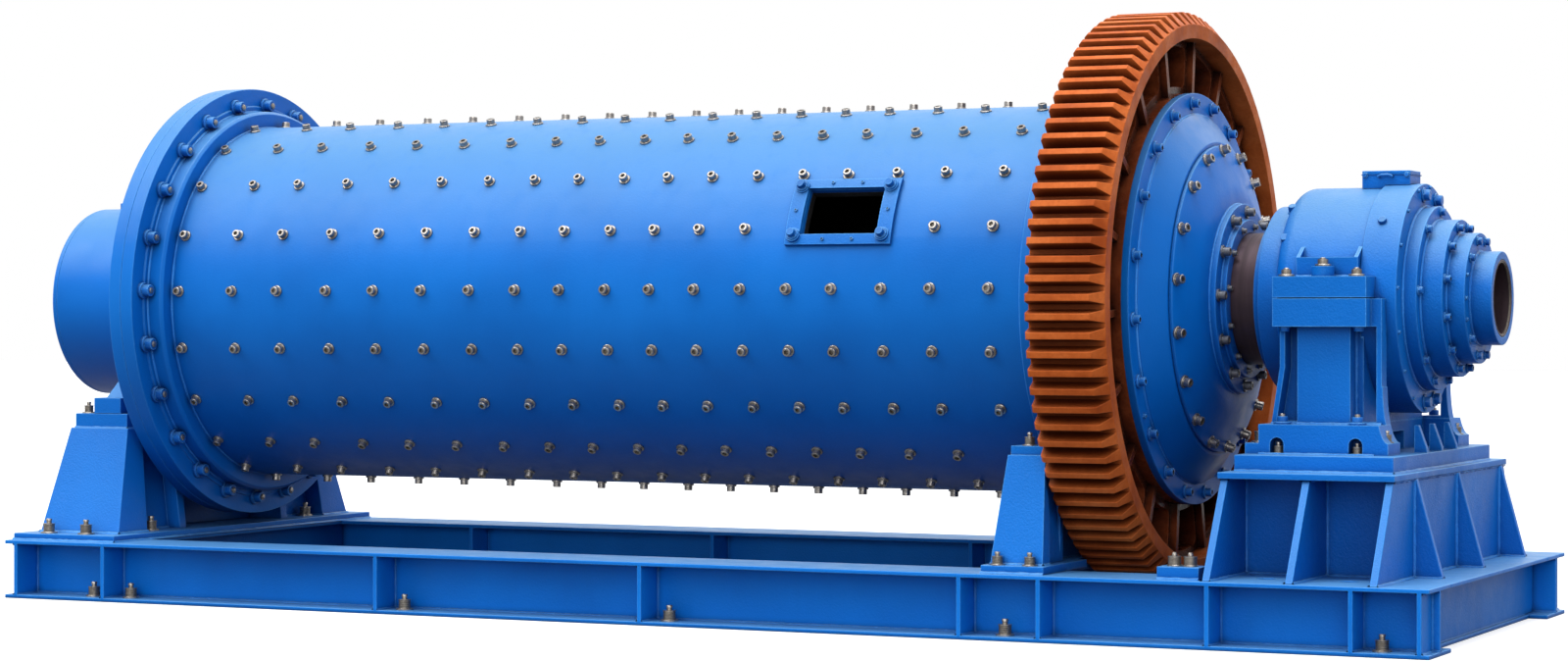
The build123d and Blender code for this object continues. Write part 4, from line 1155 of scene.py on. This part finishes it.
def bearing_seams():
    """Rings where the bearing's covers step down, and where the end flange meets the cap."""
    batch = Batch("bearing_seams", STAND, "blue_paint", WELD)
    for x, radius in (
        (END_FLANGE_FACE, 349), (LARGE_COVER_FACE, 298), (MIDDLE_COVER_FACE, 247),
        (SMALL_COVER_FACE, 177),
    ):
        batch.bead(circle(x, radius * MM, 1), 6, closed=True)
    batch.bead(circle(BEARING_LEFT, 356 * MM, -1), 6, closed=True)
    batch.bead(circle(low("bearing_seal_ring").x + 34 * MM, 300 * MM, -1), 5, closed=True)
    batch.finish()


def drum_seams():
    """Rings where flanges, collars and the gear seat meet the drum."""
    batch = Batch("drum_seams", DRUM, "blue_paint", WELD)
    for x, radius, side, size in (
        (SHELL_LEFT + FEED_FLANGE_THICKNESS + FEED_LAND_LENGTH, COLLAR_RADIUS, 1, 6),
        (COLLAR_END, SHELL_RADIUS, 1, 6),
        (SHELL_RIGHT - SEAT_LENGTH, SHELL_RADIUS, -1, 4),
        (SHELL_LEFT - HEAD_FLANGE_THICKNESS, HEAD_STEP_RADIUS, -1, 7),
        (COVER_FACE, 722 * MM, 1, 5),
        (HUB_FACE, 308 * MM, 1, 5),
        (CONE_SEAT, 370 * MM, 1, 5),
    ):
        batch.bead(circle(x, radius, side), size, closed=True)
    batch.finish()


beam_welds()
stand_welds()
pedestal_welds()
bearing_welds()
bearing_seams()
drum_seams()


# Floor, light and camera

def coloured(material, kind, colour, **inputs):
    """Shader of one colour."""
    return new_node(material, kind, {"Color": colour} | inputs).outputs[0]


def chosen(material, output_kind, factor, first, second):
    """Output that is fed by the first shader at factor 0 and by the second at 1."""
    choose = new_node(material, "ShaderNodeMixShader", {"Fac": factor, 1: first, 2: second})
    new_node(material, output_kind, {"Surface": choose.outputs["Shader"]})


def seen_white(material, gloss):
    """1 for rays that show the background to the eye or through glass, and gloss in reflections."""
    rays = new_node(material, "ShaderNodeLightPath", {}).outputs
    mirrored = calculated(material, "MULTIPLY", rays["Is Glossy Ray"], gloss)
    direct = calculated(material, "MAXIMUM", rays["Is Camera Ray"], rays["Is Transmission Ray"])
    return calculated(material, "MAXIMUM", direct, mirrored)


def studio_floor():
    """Pale floor that looks white but keeps a soft shadow."""
    data = bpy.data.meshes.new("studio_floor")
    edge = 60.0
    corners = [(-edge, -edge, 0), (edge, -edge, 0), (edge, edge, 0), (-edge, edge, 0)]
    data.from_pydata(corners, [], [(0, 1, 2, 3)])
    floor = placed("studio_floor", data)
    material = bpy.data.materials.new("studio_floor")
    material.use_nodes = True
    material.node_tree.nodes.clear()
    lit = coloured(material, "ShaderNodeBsdfDiffuse", (0.50, 0.50, 0.50))
    glow = coloured(material, "ShaderNodeEmission", (1.0, 1.0, 1.0), Strength=0.62)
    pale = new_node(material, "ShaderNodeAddShader", {0: lit, 1: glow})
    # The floor throws only a little light back up on the machine
    bounce = coloured(material, "ShaderNodeBsdfDiffuse", (0.14, 0.15, 0.16))
    seen = seen_white(material, 0.2)
    chosen(material, "ShaderNodeOutputMaterial", seen, bounce, pale.outputs["Shader"])
    data.materials.append(material)


def studio_sky():
    """Even light from all round, seen as pure white by the camera."""
    world = bpy.data.worlds.new("studio")
    bpy.context.scene.world = world
    world.use_nodes = True
    world.node_tree.nodes.clear()
    fill = coloured(world, "ShaderNodeBackground", (0.94, 0.97, 1.0), Strength=0.38)
    white = coloured(world, "ShaderNodeBackground", (1.0, 1.0, 1.0))
    chosen(world, "ShaderNodeOutputWorld", seen_white(world, 1.0), fill, white)


def lamps():
    """Soft lamps far off: a wide one overhead, two in front, one at the side and one behind."""
    # Azimuth 0 shines along +Y, and 90 along -X
    for name, azimuth, elevation, strength, spread in (
        ("top_light", -10.0, 84.0, 3.2, 50.0),
        ("left_light", -50.0, 45.0, 1.5, 40.0),
        ("front_light", 18.0, 20.0, 0.95, 40.0),
        ("side_light", 70.0, 32.0, 0.25, 50.0),
        ("back_light", 170.0, 45.0, 0.9, 50.0),
    ):
        lamp = bpy.data.lights.new(name, "SUN")
        lamp.energy = strength
        lamp.angle = radians(spread)
        holder = placed(name, lamp)
        a, e = radians(azimuth), radians(elevation)
        toward = Vector((-sin(a) * cos(e), cos(a) * cos(e), -sin(e)))
        holder.rotation_euler = toward.to_track_quat("-Z", "Y").to_euler()


def photo_camera():
    """Camera low in front, towards the discharge end."""
    data = bpy.data.cameras.new("photo_camera")
    data.sensor_width = 36.0
    data.lens = 78.78
    data.clip_end = 200.0
    camera = placed("photo_camera", data)
    camera.location = (6.3536, -12.8411, 1.2041)
    camera.rotation_euler = (radians(90.0 - 0.246), 0.0, radians(25.52))
    bpy.context.scene.camera = camera


studio_floor()
studio_sky()
lamps()
photo_camera()
bpy.context.scene.view_settings.view_transform = "Standard"
